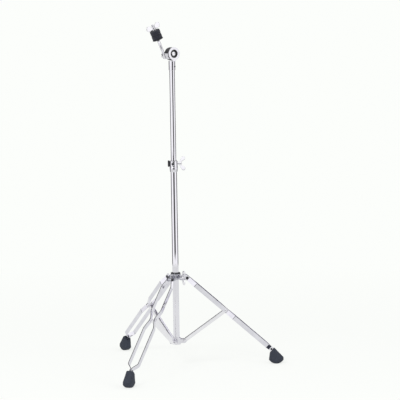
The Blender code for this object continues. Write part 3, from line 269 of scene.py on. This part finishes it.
def reckon(tree, operation, *terms):
    """Work out one value from numbers and from other nodes' values."""
    made = add(tree, "ShaderNodeMath", {"operation": operation})
    for term, socket in zip(terms, made.inputs):
        if isinstance(term, float):
            socket.default_value = term
        else:
            tree.links.new(term, socket)
    return made.outputs[0]


def finish(name, colour, roughness, metallic=0.0):
    """Start a finish from its plain colour and gloss."""
    made = bpy.data.materials.new(name)
    made.use_nodes = True
    made.diffuse_color = (*colour, 1.0)
    shader = made.node_tree.nodes["Principled BSDF"]
    shader.inputs["Base Color"].default_value = (*colour, 1.0)
    shader.inputs["Roughness"].default_value = roughness
    shader.inputs["Metallic"].default_value = metallic
    return made, made.node_tree, shader


def noise(tree, scale, detail=2.0, roughness=0.5, stretch=None):
    """A cloudy pattern that stays with its piece."""
    coords = add(tree, "ShaderNodeTexCoord").outputs["Object"]
    if stretch:
        coords = add(tree, "ShaderNodeMapping", values={"Scale": stretch},
                     links={"Vector": coords}).outputs["Vector"]
    made = add(tree, "ShaderNodeTexNoise",
               values={"Scale": scale, "Detail": detail, "Roughness": roughness},
               links={"Vector": coords})
    return made.outputs["Fac"]


def spread(tree, source, low, high, start=0.3, end=0.7):
    """Spread a pattern's values between two numbers."""
    made = add(tree, "ShaderNodeMapRange",
               values={"From Min": start, "From Max": end, "To Min": low, "To Max": high},
               links={"Value": source})
    return made.outputs["Result"]


def between(tree, share, low, high):
    """A value that goes from low to high as a share goes from none to all."""
    return spread(tree, share, low, high, start=0.0, end=1.0)


def two_tone(tree, source, first, second, start=0.35, end=0.65):
    """A pattern's colour, from one tone to another."""
    ramp = add(tree, "ShaderNodeValToRGB", links={"Fac": source})
    ramp.color_ramp.elements[0].position = start
    ramp.color_ramp.elements[0].color = (*first, 1.0)
    ramp.color_ramp.elements[1].position = end
    ramp.color_ramp.elements[1].color = (*second, 1.0)
    return ramp.outputs["Color"]


def bump(tree, source, strength, distance, under=None):
    """A pattern as relief, on top of a coarser relief where there is one."""
    made = add(tree, "ShaderNodeBump", values={"Strength": strength, "Distance": distance},
               links={"Height": source})
    if under:
        tree.links.new(under, made.inputs["Normal"])
    return made.outputs["Normal"]


def chrome(name, colour, haze_colour, polish, grain, ripple):
    """Chrome plating: even colour with faint haze, handling marks and a soft ripple.

    Polish is the roughness of the clean plating and of the marks.
    """
    clean, marked = polish
    made, tree, shader = finish(name, colour, clean, metallic=1.0)
    haze = noise(tree, scale=45.0, detail=4.0)
    tree.links.new(two_tone(tree, haze, haze_colour, colour), shader.inputs["Base Color"])
    marks = noise(tree, scale=160.0, detail=6.0, roughness=0.65)
    tree.links.new(spread(tree, marks, clean, marked), shader.inputs["Roughness"])
    fine = bump(tree, noise(tree, scale=1400.0), strength=grain, distance=0.00002)
    wave = bump(tree, noise(tree, scale=90.0, detail=1.0), strength=ripple, distance=0.0002,
                under=fine)
    tree.links.new(wave, shader.inputs["Normal"])
    return made


def nylon(name, colour, lighter):
    """Moulded black nylon, satin, with a fine grain."""
    made, tree, shader = finish(name, colour, 0.45)
    blotch = noise(tree, scale=260.0, detail=4.0)
    tree.links.new(two_tone(tree, blotch, colour, lighter), shader.inputs["Base Color"])
    tree.links.new(spread(tree, blotch, low=0.36, high=0.52), shader.inputs["Roughness"])
    grain = bump(tree, noise(tree, scale=2600.0), strength=0.25, distance=0.00005)
    tree.links.new(grain, shader.inputs["Normal"])
    return made


def pressed_felt(name, colour, lighter):
    """Pressed wool felt: matted fibres, lighter flecks and a soft sheen."""
    made, tree, shader = finish(name, colour, 0.95)
    shader.inputs["Sheen Weight"].default_value = 0.15
    shader.inputs["Sheen Roughness"].default_value = 0.6
    shader.inputs["Specular IOR Level"].default_value = 0.15
    fibres = noise(tree, scale=1500.0, detail=8.0, roughness=0.75, stretch=(1.0, 1.6, 0.55))
    clumps = noise(tree, scale=320.0, detail=5.0, roughness=0.6)
    both = reckon(tree, "MULTIPLY_ADD", fibres, 0.6, spread(tree, clumps, low=0.0, high=0.4))
    flecks = two_tone(tree, both, colour, lighter, start=0.36, end=0.78)
    tree.links.new(flecks, shader.inputs["Base Color"])
    coarse = bump(tree, clumps, strength=0.5, distance=0.0006)
    matted = bump(tree, fibres, strength=0.7, distance=0.0003, under=coarse)
    tree.links.new(matted, shader.inputs["Normal"])
    return made


def rubber(name, colour, lighter):
    """Moulded rubber: dull slate with a dusty bloom and a fine mould grain."""
    made, tree, shader = finish(name, colour, 0.7)
    shader.inputs["Specular IOR Level"].default_value = 0.35
    bloom = noise(tree, scale=95.0, detail=6.0, roughness=0.6)
    dusty = two_tone(tree, bloom, colour, lighter, start=0.35, end=0.75)
    tree.links.new(dusty, shader.inputs["Base Color"])
    tree.links.new(spread(tree, bloom, low=0.58, high=0.82), shader.inputs["Roughness"])
    soft = bump(tree, noise(tree, scale=420.0, detail=3.0), strength=0.25, distance=0.0003)
    grain = bump(tree, noise(tree, scale=2400.0), strength=0.35, distance=0.0001, under=soft)
    tree.links.new(grain, shader.inputs["Normal"])
    return made


def black_steel(name, colour, worn):
    """Blackened steel, with its finish rubbed thin in patches."""
    made, tree, shader = finish(name, colour, 0.4, metallic=1.0)
    rub = noise(tree, scale=420.0, detail=7.0, roughness=0.7)
    patches = two_tone(tree, rub, colour, worn, start=0.52, end=0.72)
    tree.links.new(patches, shader.inputs["Base Color"])
    tree.links.new(spread(tree, rub, low=0.48, high=0.28), shader.inputs["Roughness"])
    grain = bump(tree, noise(tree, scale=1800.0), strength=0.2, distance=0.00004)
    tree.links.new(grain, shader.inputs["Normal"])
    return made


TUBE_CHROME = chrome("tube_chrome", (0.81, 0.80, 0.85), (0.78, 0.77, 0.82),
                     polish=(0.03, 0.06), grain=0.0, ripple=0.005)
CAST_CHROME = chrome("cast_chrome", (0.79, 0.78, 0.83), (0.73, 0.72, 0.77),
                     polish=(0.04, 0.09), grain=0.10, ripple=0.08)
# The collar's chrome is the same plating as the rest; its darker colour and haze are painted shade, standing in
# for the darker reflections of the legs and the parts round it
COLLAR_PAINTED_SHADE_CHROME = chrome("collar_chrome", (0.58, 0.58, 0.63), (0.40, 0.40, 0.45),
                       polish=(0.05, 0.12), grain=0.10, ripple=0.14)
STRIP_CHROME = chrome("strip_chrome", (0.79, 0.78, 0.84), (0.72, 0.71, 0.77),
                      polish=(0.05, 0.12), grain=0.12, ripple=0.06)
STRUT_CHROME = chrome("strut_chrome", (0.88, 0.87, 0.91), (0.83, 0.82, 0.86),
                      polish=(0.05, 0.12), grain=0.12, ripple=0.06)
NUT_CHROME = chrome("wing_nut_chrome", (0.84, 0.83, 0.87), (0.78, 0.77, 0.82),
                    polish=(0.05, 0.12), grain=0.08, ripple=0.06)
BLACK_NYLON = nylon("black_nylon", (0.022, 0.024, 0.028), (0.040, 0.043, 0.050))
TOOTHED_NYLON = nylon("toothed_nylon", (0.030, 0.030, 0.034), (0.065, 0.065, 0.072))
DARK_FELT = pressed_felt("dark_felt", (0.012, 0.013, 0.021), (0.040, 0.042, 0.062))
SLATE_RUBBER = rubber("slate_rubber", (0.027, 0.032, 0.050), (0.043, 0.051, 0.075))
BLACK_STEEL = black_steel("black_steel", (0.045, 0.046, 0.052), (0.16, 0.16, 0.17))


# ---- handing over

def hand_over(piece, part, material):
    """Give a piece its finish and let it stand for its frame part."""
    piece.data.materials.clear()
    piece.data.materials.append(material)
    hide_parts(part)
    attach(piece, BODY_OF[part])


def dress(part, material):
    """Give a frame part that stays its finish."""
    mesh = frame["nodes"][part].data
    mesh.materials.clear()
    mesh.materials.append(material)


def cast(part, material, skin=CAST_SKIN):
    """Make a casting and hand it over."""
    hand_over(cast_piece(part, skin), part, material)


def press(part, material, edge):
    """Make a pressed, cut or moulded piece and hand it over."""
    hand_over(pressed_piece(part, edge), part, material)


# ---- mast

TUBE_WALL = 0.0012


def mast_pieces():
    """The two tubes, and what clamps and carries them."""
    for part in ("base_tube", "upper_tube"):
        low, high = corners_in(MAST, part)
        outer = radius_of(part)
        rings = tube_rings(outer - TUBE_WALL, outer, low.z, high.z)
        hand_over(turned_ring("turned_" + part, rings, MAST), part, TUBE_CHROME)
    dress("guide_bush", BLACK_NYLON)
    cast("height_clamp", CAST_CHROME)
    cast("lower_bracket", CAST_CHROME)
    cast("height_wing_nut", NUT_CHROME, WING_SKIN)
    press("clamp_bush", BLACK_NYLON, edge=0.0002)
    press("clamp_bolt", BLACK_STEEL, edge=0.0003)


# ---- tilter

BOLT_SHANK = 0.0040
BOLT_HEAD_HEIGHT = 0.0046
SOCKET_DEPTH = 0.0018
SOCKET_SHARE = 0.72             # its width, as a share of the head's radius
# The dome of the bolt's head, as (share of the head's radius, depth below its top)
BOLT_DOME = ((1.0, 0.0018), (0.95, 0.0009), (0.84, 0.0003), (0.66, 0.0))


def tilter_bolt():
    """The bolt's round head, domed, with a hexagon socket that faces the front."""
    low, high = corners_in(TILTER_AXLE, "tilter_bolt")
    head, front = high.x, high.z
    seat = front - BOLT_HEAD_HEIGHT
    rings = [(BOLT_SHANK - RIM, low.z), (BOLT_SHANK, low.z + RIM), (BOLT_SHANK, seat),
             (head - RIM, seat), (head, seat + RIM)]
    rings += [(head * share, front - depth) for share, depth in BOLT_DOME]
    bolt = turned("turned_tilter_bolt", rings, TILTER_AXLE, BOLT_SIDES)
    top = TILTER_AXLE @ Matrix.Translation((0, 0, front))
    socket_in(bolt, head * SOCKET_SHARE, SOCKET_DEPTH, top)
    only(bolt)
    bpy.ops.object.shade_smooth_by_angle(angle=TURNED_SMOOTH)
    hand_over(bolt, "tilter_bolt", NUT_CHROME)


def tilter_washer():
    """The flat washer under the tilter's wing nut."""
    low, high = corners_in(TILTER_AXLE, "tilter_washer")
    rings = tube_rings(BOLT_SHANK + RIM, high.x, low.z, high.z)
    washer = turned_ring("turned_tilter_washer", rings, TILTER_AXLE)
    hand_over(washer, "tilter_washer", TUBE_CHROME)


def tilter_pieces():
    """The stem, the toothed discs, the arm and what holds them together."""
    cast("tilter_stem", CAST_CHROME)
    cast("tilter_arm", CAST_CHROME)
    cast("tilter_wing_nut", NUT_CHROME, WING_SKIN)
    press("ratchet_lower", TOOTHED_NYLON, edge=0.00025)
    press("ratchet_upper", TOOTHED_NYLON, edge=0.00025)
    press("rod_set_screw", BLACK_STEEL, edge=0.0003)
    press("stem_screw", BLACK_STEEL, edge=0.0004)
    tilter_bolt()
    tilter_washer()


# ---- cymbal rod

THREAD_RADIUS = 0.0040
THREAD_PITCH = 0.00125
THREAD_DEPTH = 0.00055
THREAD_STEPS = 8                # rings in one pitch
GROOVE_HALF = 0.25              # half the groove's width, as a share of the pitch
GROOVE_SLOPE = 5                # how fast it deepens over that share
TIP_CHAMFER = 0.0009
TIP_ROUNDING = ((0.0008, 0.0002), (0.0013, 0.0))    # in from the thread, down from the tip

FELT_EDGE = 0.0016              # rounding of its edges
FELT_CROWN = 0.0004             # bulge of its side
FELT_STEPS = 14                 # rings up its side
CORNER_IN, CORNER_UP = 0.35, 0.25   # a point on the rounding, as shares of it
MATTING_SIZE = 0.0022
MATTING_DETAIL = 3
MATTING_HEIGHT = 0.0005
MATTING_LEVEL = 0.62            # the share of it that lies below the profile
SIDE_ROOM, END_ROOM = 0.0002, 0.0001    # left for the matting

SEAT_FOOT = 0.6                 # flat part under the seat, as a share of its radius
# The seat's rim, as (in from its edge, up from its foot), in halves of its height
SEAT_RIM = ((1.2, 0.1), (0.35, 0.5), (0.0, 1.0), (0.2, 1.7), (0.6, 2.0))


def groove_depth(share):
    """How deep the thread is at a share of its pitch, from crest to root."""
    return min(1.0, max(0.0, (GROOVE_HALF - abs(share - 0.5)) * GROOVE_SLOPE))


def cut_thread(piece, low, high):
    """Move the rod's skin in along a right-hand helix, between two heights."""
    for vert in piece.data.vertices:
        x, y, z = vert.co
        if not low < z < high or x * x + y * y < (THREAD_RADIUS / 2) ** 2:
            continue
        share = (z / THREAD_PITCH - atan2(y, x) / tau) % 1.0
        fade = min(1.0, (z - low) / THREAD_PITCH, (high - z) / THREAD_PITCH)
        radius = THREAD_RADIUS - THREAD_DEPTH * groove_depth(share) * fade
        vert.co.x, vert.co.y = radius * x / THREAD_RADIUS, radius * y / THREAD_RADIUS


def cymbal_rod():
    """The rod, with its thinner threaded end above a shoulder."""
    low, high = corners_in(ROD, "cymbal_rod")
    outer, tip = high.x, high.z
    shoulder = corners_in(ROD, "cymbal_seat")[0].z - CLEARANCE
    start, end = shoulder + THREAD_PITCH, tip - TIP_CHAMFER
    rings = [(outer - RIM, low.z), (outer, low.z + RIM), (outer, shoulder - RIM),
             (outer - RIM, shoulder), (THREAD_RADIUS, shoulder), (THREAD_RADIUS, start)]
    piece = start_ring("turned_cymbal_rod", rings[0], ROD_SIDES, "NGON")
    grow(rings)
    steps = int((end - start) / THREAD_PITCH * THREAD_STEPS)
    lift = (end - start) / steps
    for _ in range(steps):
        bpy.ops.mesh.extrude_region_move(TRANSFORM_OT_translate={"value": (0, 0, lift)})
    rounding = [(THREAD_RADIUS - inset, tip - depth) for inset, depth in TIP_ROUNDING]
    grow([(THREAD_RADIUS, end)] + rounding)
    close_mesh()
    cut_thread(piece, start, end)
    bpy.ops.object.shade_smooth_by_angle(angle=THREAD_SMOOTH)
    hand_over(settle(piece, ROD), "cymbal_rod", TUBE_CHROME)


def felt_rings(inner, outer, low, high):
    """A felt's profile: a slightly crowned side and soft edges."""
    middle = (inner + outer) / 2
    side = outer - FELT_CROWN
    corner_in, corner_up = FELT_EDGE * CORNER_IN, FELT_EDGE * CORNER_UP
    rings = [(inner, low + FELT_EDGE / 2), (inner + FELT_EDGE / 2, low), (middle, low),
             (side - FELT_EDGE, low), (side - corner_in, low + corner_up)]
    for index in range(FELT_STEPS + 1):
        share = index / FELT_STEPS
        bulge = FELT_CROWN * (1 - (2 * share - 1) ** 2)
        rings.append((side + bulge, low + FELT_EDGE + (high - low - 2 * FELT_EDGE) * share))
    rings += [(side - corner_in, high - corner_up), (side - FELT_EDGE, high),
              (middle, high), (inner + FELT_EDGE / 2, high), (inner, high - FELT_EDGE / 2)]
    return rings


def felts():
    """Two pressed felts with the uneven skin of matted wool."""
    matting = bpy.data.textures.new("matting", "CLOUDS")
    matting.noise_scale = MATTING_SIZE
    matting.noise_depth = MATTING_DETAIL
    bore = radius_of("cymbal_sleeve", ROD) + CLEARANCE
    for part in ("lower_felt", "upper_felt"):
        low, high = corners_in(ROD, part)
        rings = felt_rings(bore, high.x - SIDE_ROOM, low.z + END_ROOM, high.z - END_ROOM)
        piece = turned_ring("pressed_" + part, rings, ROD, FELT_SIDES)
        uneven = piece.modifiers.new("uneven", "DISPLACE")
        uneven.texture = matting
        uneven.texture_coords = "LOCAL"
        uneven.strength = MATTING_HEIGHT
        uneven.mid_level = MATTING_LEVEL
        apply_modifiers(piece)
        bpy.ops.object.shade_smooth()
        hand_over(piece, part, DARK_FELT)


def cymbal_seat():
    """The cup washer under the felts."""
    low, high = corners_in(ROD, "cymbal_seat")
    bore, outer = THREAD_RADIUS + CLEARANCE, high.x
    half = (high.z - low.z) / 2
    rings = [(bore, low.z), (outer * SEAT_FOOT, low.z)]
    rings += [(outer - half * inset, low.z + half * rise) for inset, rise in SEAT_RIM]
    rings.append((bore, high.z))
    hand_over(turned_ring("turned_cymbal_seat", rings, ROD), "cymbal_seat", BLACK_NYLON)


def rod_pieces():
    """The rod and what is stacked on it."""
    cymbal_rod()
    cast("cymbal_wing_nut", NUT_CHROME, WING_SKIN)
    felts()
    cymbal_seat()
    dress("cymbal_sleeve", BLACK_NYLON)


# ---- tripod

BUSH_WALL = 0.0028
FLANGE_EDGE = 0.0007
# The flange's upper edge, as (in from its side, down from its top), in flange edges
FLANGE_TOP = ((0.0, 1.6), (0.6, 0.5), (2.0, 0.0))

PIN_SHANK, FOOT_RIVET_SHANK = 0.003, 0.002
PIN_HEAD, FOOT_RIVET_HEAD = 0.0022, 0.0011      # how high they stand
DOME_TURNS = (0, 22, 42, 60, 75, 84)            # degrees up a rivet's dome
DOME_FULLNESS = 0.7
LEG_TURNS = {"a": radians(120), "b": radians(-120)}     # from leg c, about the mast


def collar_bush():
    """The collar's nylon bush, whose flange lies on top of the casting."""
    low, high = corners_in(MAST, "collar_bush")
    flange = radius_of("collar_bush")
    bore = radius_of("base_tube") + CLEARANCE
    body = bore + BUSH_WALL
    seat = corners_in(MAST, "leg_collar")[1].z + CLEARANCE
    rings = [(bore + RIM, low.z), (body, low.z), (body, seat), (flange - FLANGE_EDGE, seat),
             (flange, seat + FLANGE_EDGE)]
    rings += [(flange - FLANGE_EDGE * inset, high.z - FLANGE_EDGE * depth)
              for inset, depth in FLANGE_TOP]
    rings += [(bore + FLANGE_EDGE, high.z), (bore, high.z - FLANGE_EDGE), (bore, low.z + RIM)]
    hand_over(turned_ring("turned_collar_bush", rings, MAST), "collar_bush", BLACK_NYLON)


def round_mast(piece, name, angle):
    """A copy of a leg's piece, turned about the mast."""
    only(piece)
    bpy.ops.object.duplicate()
    twin = bpy.context.active_object
    twin.name = name
    twin.data.name = name
    return settle(twin, MAST @ Matrix.Rotation(angle, 4, "Z") @ MAST.inverted())


def rivet_rings(shank, head, under, top):
    """A rivet's profile, with the same low dome at both ends."""
    rise = top - under
    dome = [(head * cos(angle) ** DOME_FULLNESS, under + rise * sin(angle))
            for angle in map(radians, DOME_TURNS)]
    upper = [(shank, under)] + dome
    lower = [(radius, -height) for radius, height in reversed(upper)]
    return lower + upper


def rivet(part, shank, head_height):
    """A rivet of leg c, as long and as wide as its frame part."""
    low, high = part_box(part)
    axle = axle_at((low + high) / 2, JOINTS["leg_c_fold"]["axis"])
    reach = corners_in(axle, part)[1]
    rings = rivet_rings(shank, reach.x, reach.z - head_height, reach.z)
    return turned("turned_" + part, rings, axle)


def leg_strip(side):
    """One strip of leg c, with its long edges well rounded."""
    return pressed_piece("leg_strip_c_" + side, edge=0.0015, steps=6, sharpest=12)


def leg_pieces():
    """Leg c's pieces, and their copies for the other two legs."""
    made = {
        "leg_strip_%s_left": (leg_strip("left"), STRIP_CHROME),
        "leg_strip_%s_right": (leg_strip("right"), STRIP_CHROME),
        "strut_%s": (pressed_piece("strut_c", edge=0.0004), STRUT_CHROME),
        "strut_pin_%s": (pressed_piece("strut_pin_c", edge=0.0004), BLACK_STEEL),
        "foot_%s": (cast_piece("foot_c", FOOT_SKIN), SLATE_RUBBER),
        "leg_pin_%s": (rivet("leg_pin_c", PIN_SHANK, PIN_HEAD), BLACK_STEEL),
        "brace_rivet_%s": (rivet("brace_rivet_c", PIN_SHANK, PIN_HEAD), NUT_CHROME),
        "foot_rivet_%s": (rivet("foot_rivet_c", FOOT_RIVET_SHANK, FOOT_RIVET_HEAD), BLACK_STEEL),
    }
    for part, (piece, material) in made.items():
        kind = piece.name.split("_")[0] + "_"
        for label, angle in LEG_TURNS.items():
            twin = round_mast(piece, kind + part % label, angle)
            hand_over(twin, part % label, material)
        hand_over(piece, part % "c", material)


def tripod_pieces():
    """The collar with its bush and screw, and the three legs."""
    # the collar gets the chrome with painted shade in its colour
    cast("leg_collar", COLLAR_PAINTED_SHADE_CHROME)
    cast("collar_wing_screw", NUT_CHROME, WING_SKIN)
    collar_bush()
    leg_pieces()


# ---- studio

PAPER = (0.973, 0.989, 0.966, 1.0)
ROOM_LIGHT = 0.74               # of the surroundings on matt surfaces
CHROME_SKY = 1.15               # of the surroundings as chrome reflects them

FLOOR_SIZE = 60
FLOOR_GREY = (0.88, 0.88, 0.88, 1.0)
FLOOR_GLOW = 1.06               # near the stand
CHROME_FLOOR = 0.92             # of the floor as chrome reflects it
FLOOR_VEIL = 0.72               # share of glow over the stand's shadow
FLOOR_NEAR, FLOOR_FAR = 0.9, 2.4    # between these the shadow runs out

# What the chrome reflects round the stand, as (degrees from the camera, tone)
CAMERA_AZIMUTH = -3.0           # from straight in front of the mast
PALE, DARK = 1.0, 0.09
LOW_PANEL = ((-87, PALE), (-31, PALE), (-26, DARK), (26, DARK), (31, PALE))
HIGH_PANEL = ((-87, PALE), (-11, PALE), (-6, DARK), (37, DARK), (42, PALE))
BACK_PANELS = ((-87, PALE), (89, PALE), (94, DARK), (139, DARK), (142, PALE), (156, PALE),
               (159, DARK), (177, DARK), (180, PALE), (204, PALE), (207, DARK), (263, DARK),
               (268, PALE))
# Heights where a panel fades in, is full, is still full and has faded out
LOW_PANEL_HEIGHTS = (0.02, 0.06, 0.55, 0.59)
HIGH_PANEL_HEIGHTS = (0.55, 0.59, 1.28, 1.38)
WALL_RADIUS = 2.4
WALL_HEIGHT = 2.8
WALL_SIDES = 128
CEILING_RADIUS = 1.1
CEILING_SIDES = 64
CEILING_OFFSET = (-1.25, 0.2)   # of its middle from the mast
CEILING_GLOW = 0.10

# Soft lamps, as (place, size, power)
LAMPS = {"key": ((-2.2, -2.6, 3.2), 1.6, 48), "fill": ((2.8, -2.0, 2.0), 1.6, 16)}
LAMP_TARGET = (-0.05, 0, 0.5)

CAMERA_PLACE = (-0.352943, -5.198193, 1.148881)
CAMERA_TURN = (83.84845, 0.87383, -3.97292)     # degrees
LENS = 135.0                    # millimetres, for film of this width
FILM_WIDTH = 36.0


def empty_material(name):
    """A material with no nodes yet."""
    made = bpy.data.materials.new(name)
    made.use_nodes = True
    made.node_tree.nodes.clear()
    return made, made.node_tree


def light_paths(tree):
    """What is seen directly, and what is seen in chrome."""
    path = add(tree, "ShaderNodeLightPath").outputs
    direct = reckon(tree, "MAXIMUM", path["Is Camera Ray"], path["Is Transmission Ray"])
    return direct, path["Is Glossy Ray"]


def white_surroundings():
    """A white world: plain to the eye, dimmer as light and brighter in chrome."""
    world = bpy.data.worlds.new("white_surroundings")
    world.use_nodes = True
    tree = world.node_tree
    background = tree.nodes["Background"]
    background.inputs["Color"].default_value = PAPER
    direct, in_chrome = light_paths(tree)
    strength = reckon(tree, "MULTIPLY_ADD", in_chrome, CHROME_SKY - ROOM_LIGHT,
                      between(tree, direct, ROOM_LIGHT, 1.0))
    tree.links.new(strength, background.inputs["Strength"])
    bpy.context.scene.world = world


def from_mast(tree):
    """Object coordinates, counted from the mast."""
    coords = add(tree, "ShaderNodeTexCoord").outputs["Object"]
    start = (-MAST.translation.x, -MAST.translation.y, 0)
    return add(tree, "ShaderNodeMapping", values={"Location": start},
               links={"Vector": coords}).outputs["Vector"]


def pale_floor():
    """A white floor that keeps the stand's soft shadow and runs into the surroundings."""
    bpy.ops.object.select_all(action="DESELECT")
    bpy.ops.mesh.primitive_plane_add(size=FLOOR_SIZE)
    floor = bpy.context.active_object
    floor.name = "pale_floor"
    made, tree = empty_material("floor_paper")
    direct, in_chrome = light_paths(tree)
    distance = add(tree, "ShaderNodeVectorMath", {"operation": "LENGTH"},
                   links={0: from_mast(tree)}).outputs["Value"]
    away = spread(tree, distance, 0.0, 1.0, start=FLOOR_NEAR, end=FLOOR_FAR)
    share = reckon(tree, "MULTIPLY", between(tree, away, FLOOR_VEIL, 1.0), direct)
    share = reckon(tree, "MAXIMUM", share, in_chrome)
    strength = reckon(tree, "MULTIPLY_ADD", in_chrome, CHROME_FLOOR - FLOOR_GLOW,
                      between(tree, away, FLOOR_GLOW, 1.0))
    matt = add(tree, "ShaderNodeBsdfDiffuse", values={"Color": FLOOR_GREY})
    glow = add(tree, "ShaderNodeEmission", values={"Color": PAPER}, links={"Strength": strength})
    both = add(tree, "ShaderNodeMixShader",
               links={0: share, 1: matt.outputs[0], 2: glow.outputs[0]})
    add(tree, "ShaderNodeOutputMaterial", links={"Surface": both.outputs[0]})
    floor.data.materials.append(made)


def panel_tones(tree, turn_share, panels):
    """A grey tone for each direction round the mast.

    The shares are counted from -X, a quarter turn before the front.
    """
    made = add(tree, "ShaderNodeValToRGB", links={"Fac": turn_share})
    ramp = made.color_ramp
    while len(ramp.elements) < len(panels):
        ramp.elements.new(1.0)
    for element, (angle, tone) in zip(ramp.elements, panels):
        element.position = (angle + CAMERA_AZIMUTH + 90) / 360
        element.color = (tone, tone, tone, 1.0)
    return made.outputs["Color"]


def front_panel(tree, behind, tones, height, heights):
    """Lay a panel's tones over what is there already, between two heights."""
    low, low_full, high_full, high = heights
    above = spread(tree, height, 0.0, 1.0, start=low, end=low_full)
    below = spread(tree, height, 1.0, 0.0, start=high_full, end=high)
    inside = reckon(tree, "MULTIPLY", above, below)
    both = add(tree, "ShaderNodeMix", {"data_type": "RGBA", "blend_type": "MULTIPLY"},
               links={0: inside, 6: behind, 7: tones})  # 6 and 7 are its two colours
    return both.outputs[2]


def only_in_chrome(panel):
    """Hide a panel from all but reflections."""
    panel.visible_camera = False
    panel.visible_diffuse = False
    panel.visible_shadow = False
    panel.visible_transmission = False


def reflected_wall():
    """A round wall that only shows in the chrome, with dark panels at its front and back."""
    bpy.ops.object.select_all(action="DESELECT")
    bpy.ops.mesh.primitive_cylinder_add(vertices=WALL_SIDES, radius=WALL_RADIUS,
                                        depth=WALL_HEIGHT, end_fill_type="NOTHING")
    wall = settle(bpy.context.active_object, MAST @ Matrix.Translation((0, 0, WALL_HEIGHT / 2)))
    wall.name = "reflected_wall"
    made, tree = empty_material("reflected_wall")
    place = from_mast(tree)
    turn_share = add(tree, "ShaderNodeTexGradient", {"gradient_type": "RADIAL"},
                     links={"Vector": place}).outputs["Fac"]
    height = add(tree, "ShaderNodeSeparateXYZ", links={"Vector": place}).outputs["Z"]
    colour = panel_tones(tree, turn_share, BACK_PANELS)
    for panel, heights in ((LOW_PANEL, LOW_PANEL_HEIGHTS), (HIGH_PANEL, HIGH_PANEL_HEIGHTS)):
        colour = front_panel(tree, colour, panel_tones(tree, turn_share, panel), height, heights)
    glow = add(tree, "ShaderNodeEmission", values={"Strength": CHROME_SKY},
               links={"Color": colour})
    add(tree, "ShaderNodeOutputMaterial", links={"Surface": glow.outputs[0]})
    wall.data.materials.append(made)
    only_in_chrome(wall)


def dark_ceiling():
    """A dark round panel overhead, that only shows in the chrome."""
    bpy.ops.object.select_all(action="DESELECT")
    bpy.ops.mesh.primitive_circle_add(vertices=CEILING_SIDES, radius=CEILING_RADIUS,
                                      fill_type="NGON")
    overhead = MAST @ Matrix.Translation((*CEILING_OFFSET, WALL_HEIGHT))
    ceiling = settle(bpy.context.active_object, overhead)
    ceiling.name = "dark_ceiling"
    made, tree = empty_material("dark_ceiling")
    glow = add(tree, "ShaderNodeEmission", values={"Strength": CEILING_GLOW})
    add(tree, "ShaderNodeOutputMaterial", links={"Surface": glow.outputs[0]})
    ceiling.data.materials.append(made)
    only_in_chrome(ceiling)


def soft_lamp(name, place, size, power):
    """A round lamp that faces the stand."""
    data = bpy.data.lights.new(name, "AREA")
    data.shape = "DISK"
    data.size = size
    data.energy = power
    lamp = bpy.data.objects.new(name, data)
    bpy.context.scene.collection.objects.link(lamp)
    lamp.location = place
    away = Vector(LAMP_TARGET) - Vector(place)
    lamp.rotation_euler = away.to_track_quat("-Z", "Y").to_euler()


def studio():
    """The surroundings, the floor, what the chrome reflects and the lamps."""
    white_surroundings()
    pale_floor()
    reflected_wall()
    dark_ceiling()
    for name, (place, size, power) in LAMPS.items():
        soft_lamp(name, place, size, power)
    bpy.context.scene.view_settings.view_transform = "Standard"


def camera():
    """The camera, where the photograph was taken from."""
    data = bpy.data.cameras.new("camera")
    data.lens = LENS
    data.sensor_width = FILM_WIDTH
    view = bpy.data.objects.new("camera", data)
    bpy.context.scene.collection.objects.link(view)
    view.location = CAMERA_PLACE
    view.rotation_euler = [radians(turn) for turn in CAMERA_TURN]
    bpy.context.scene.camera = view


camera()
studio()
mast_pieces()
tilter_pieces()
rod_pieces()
tripod_pieces()
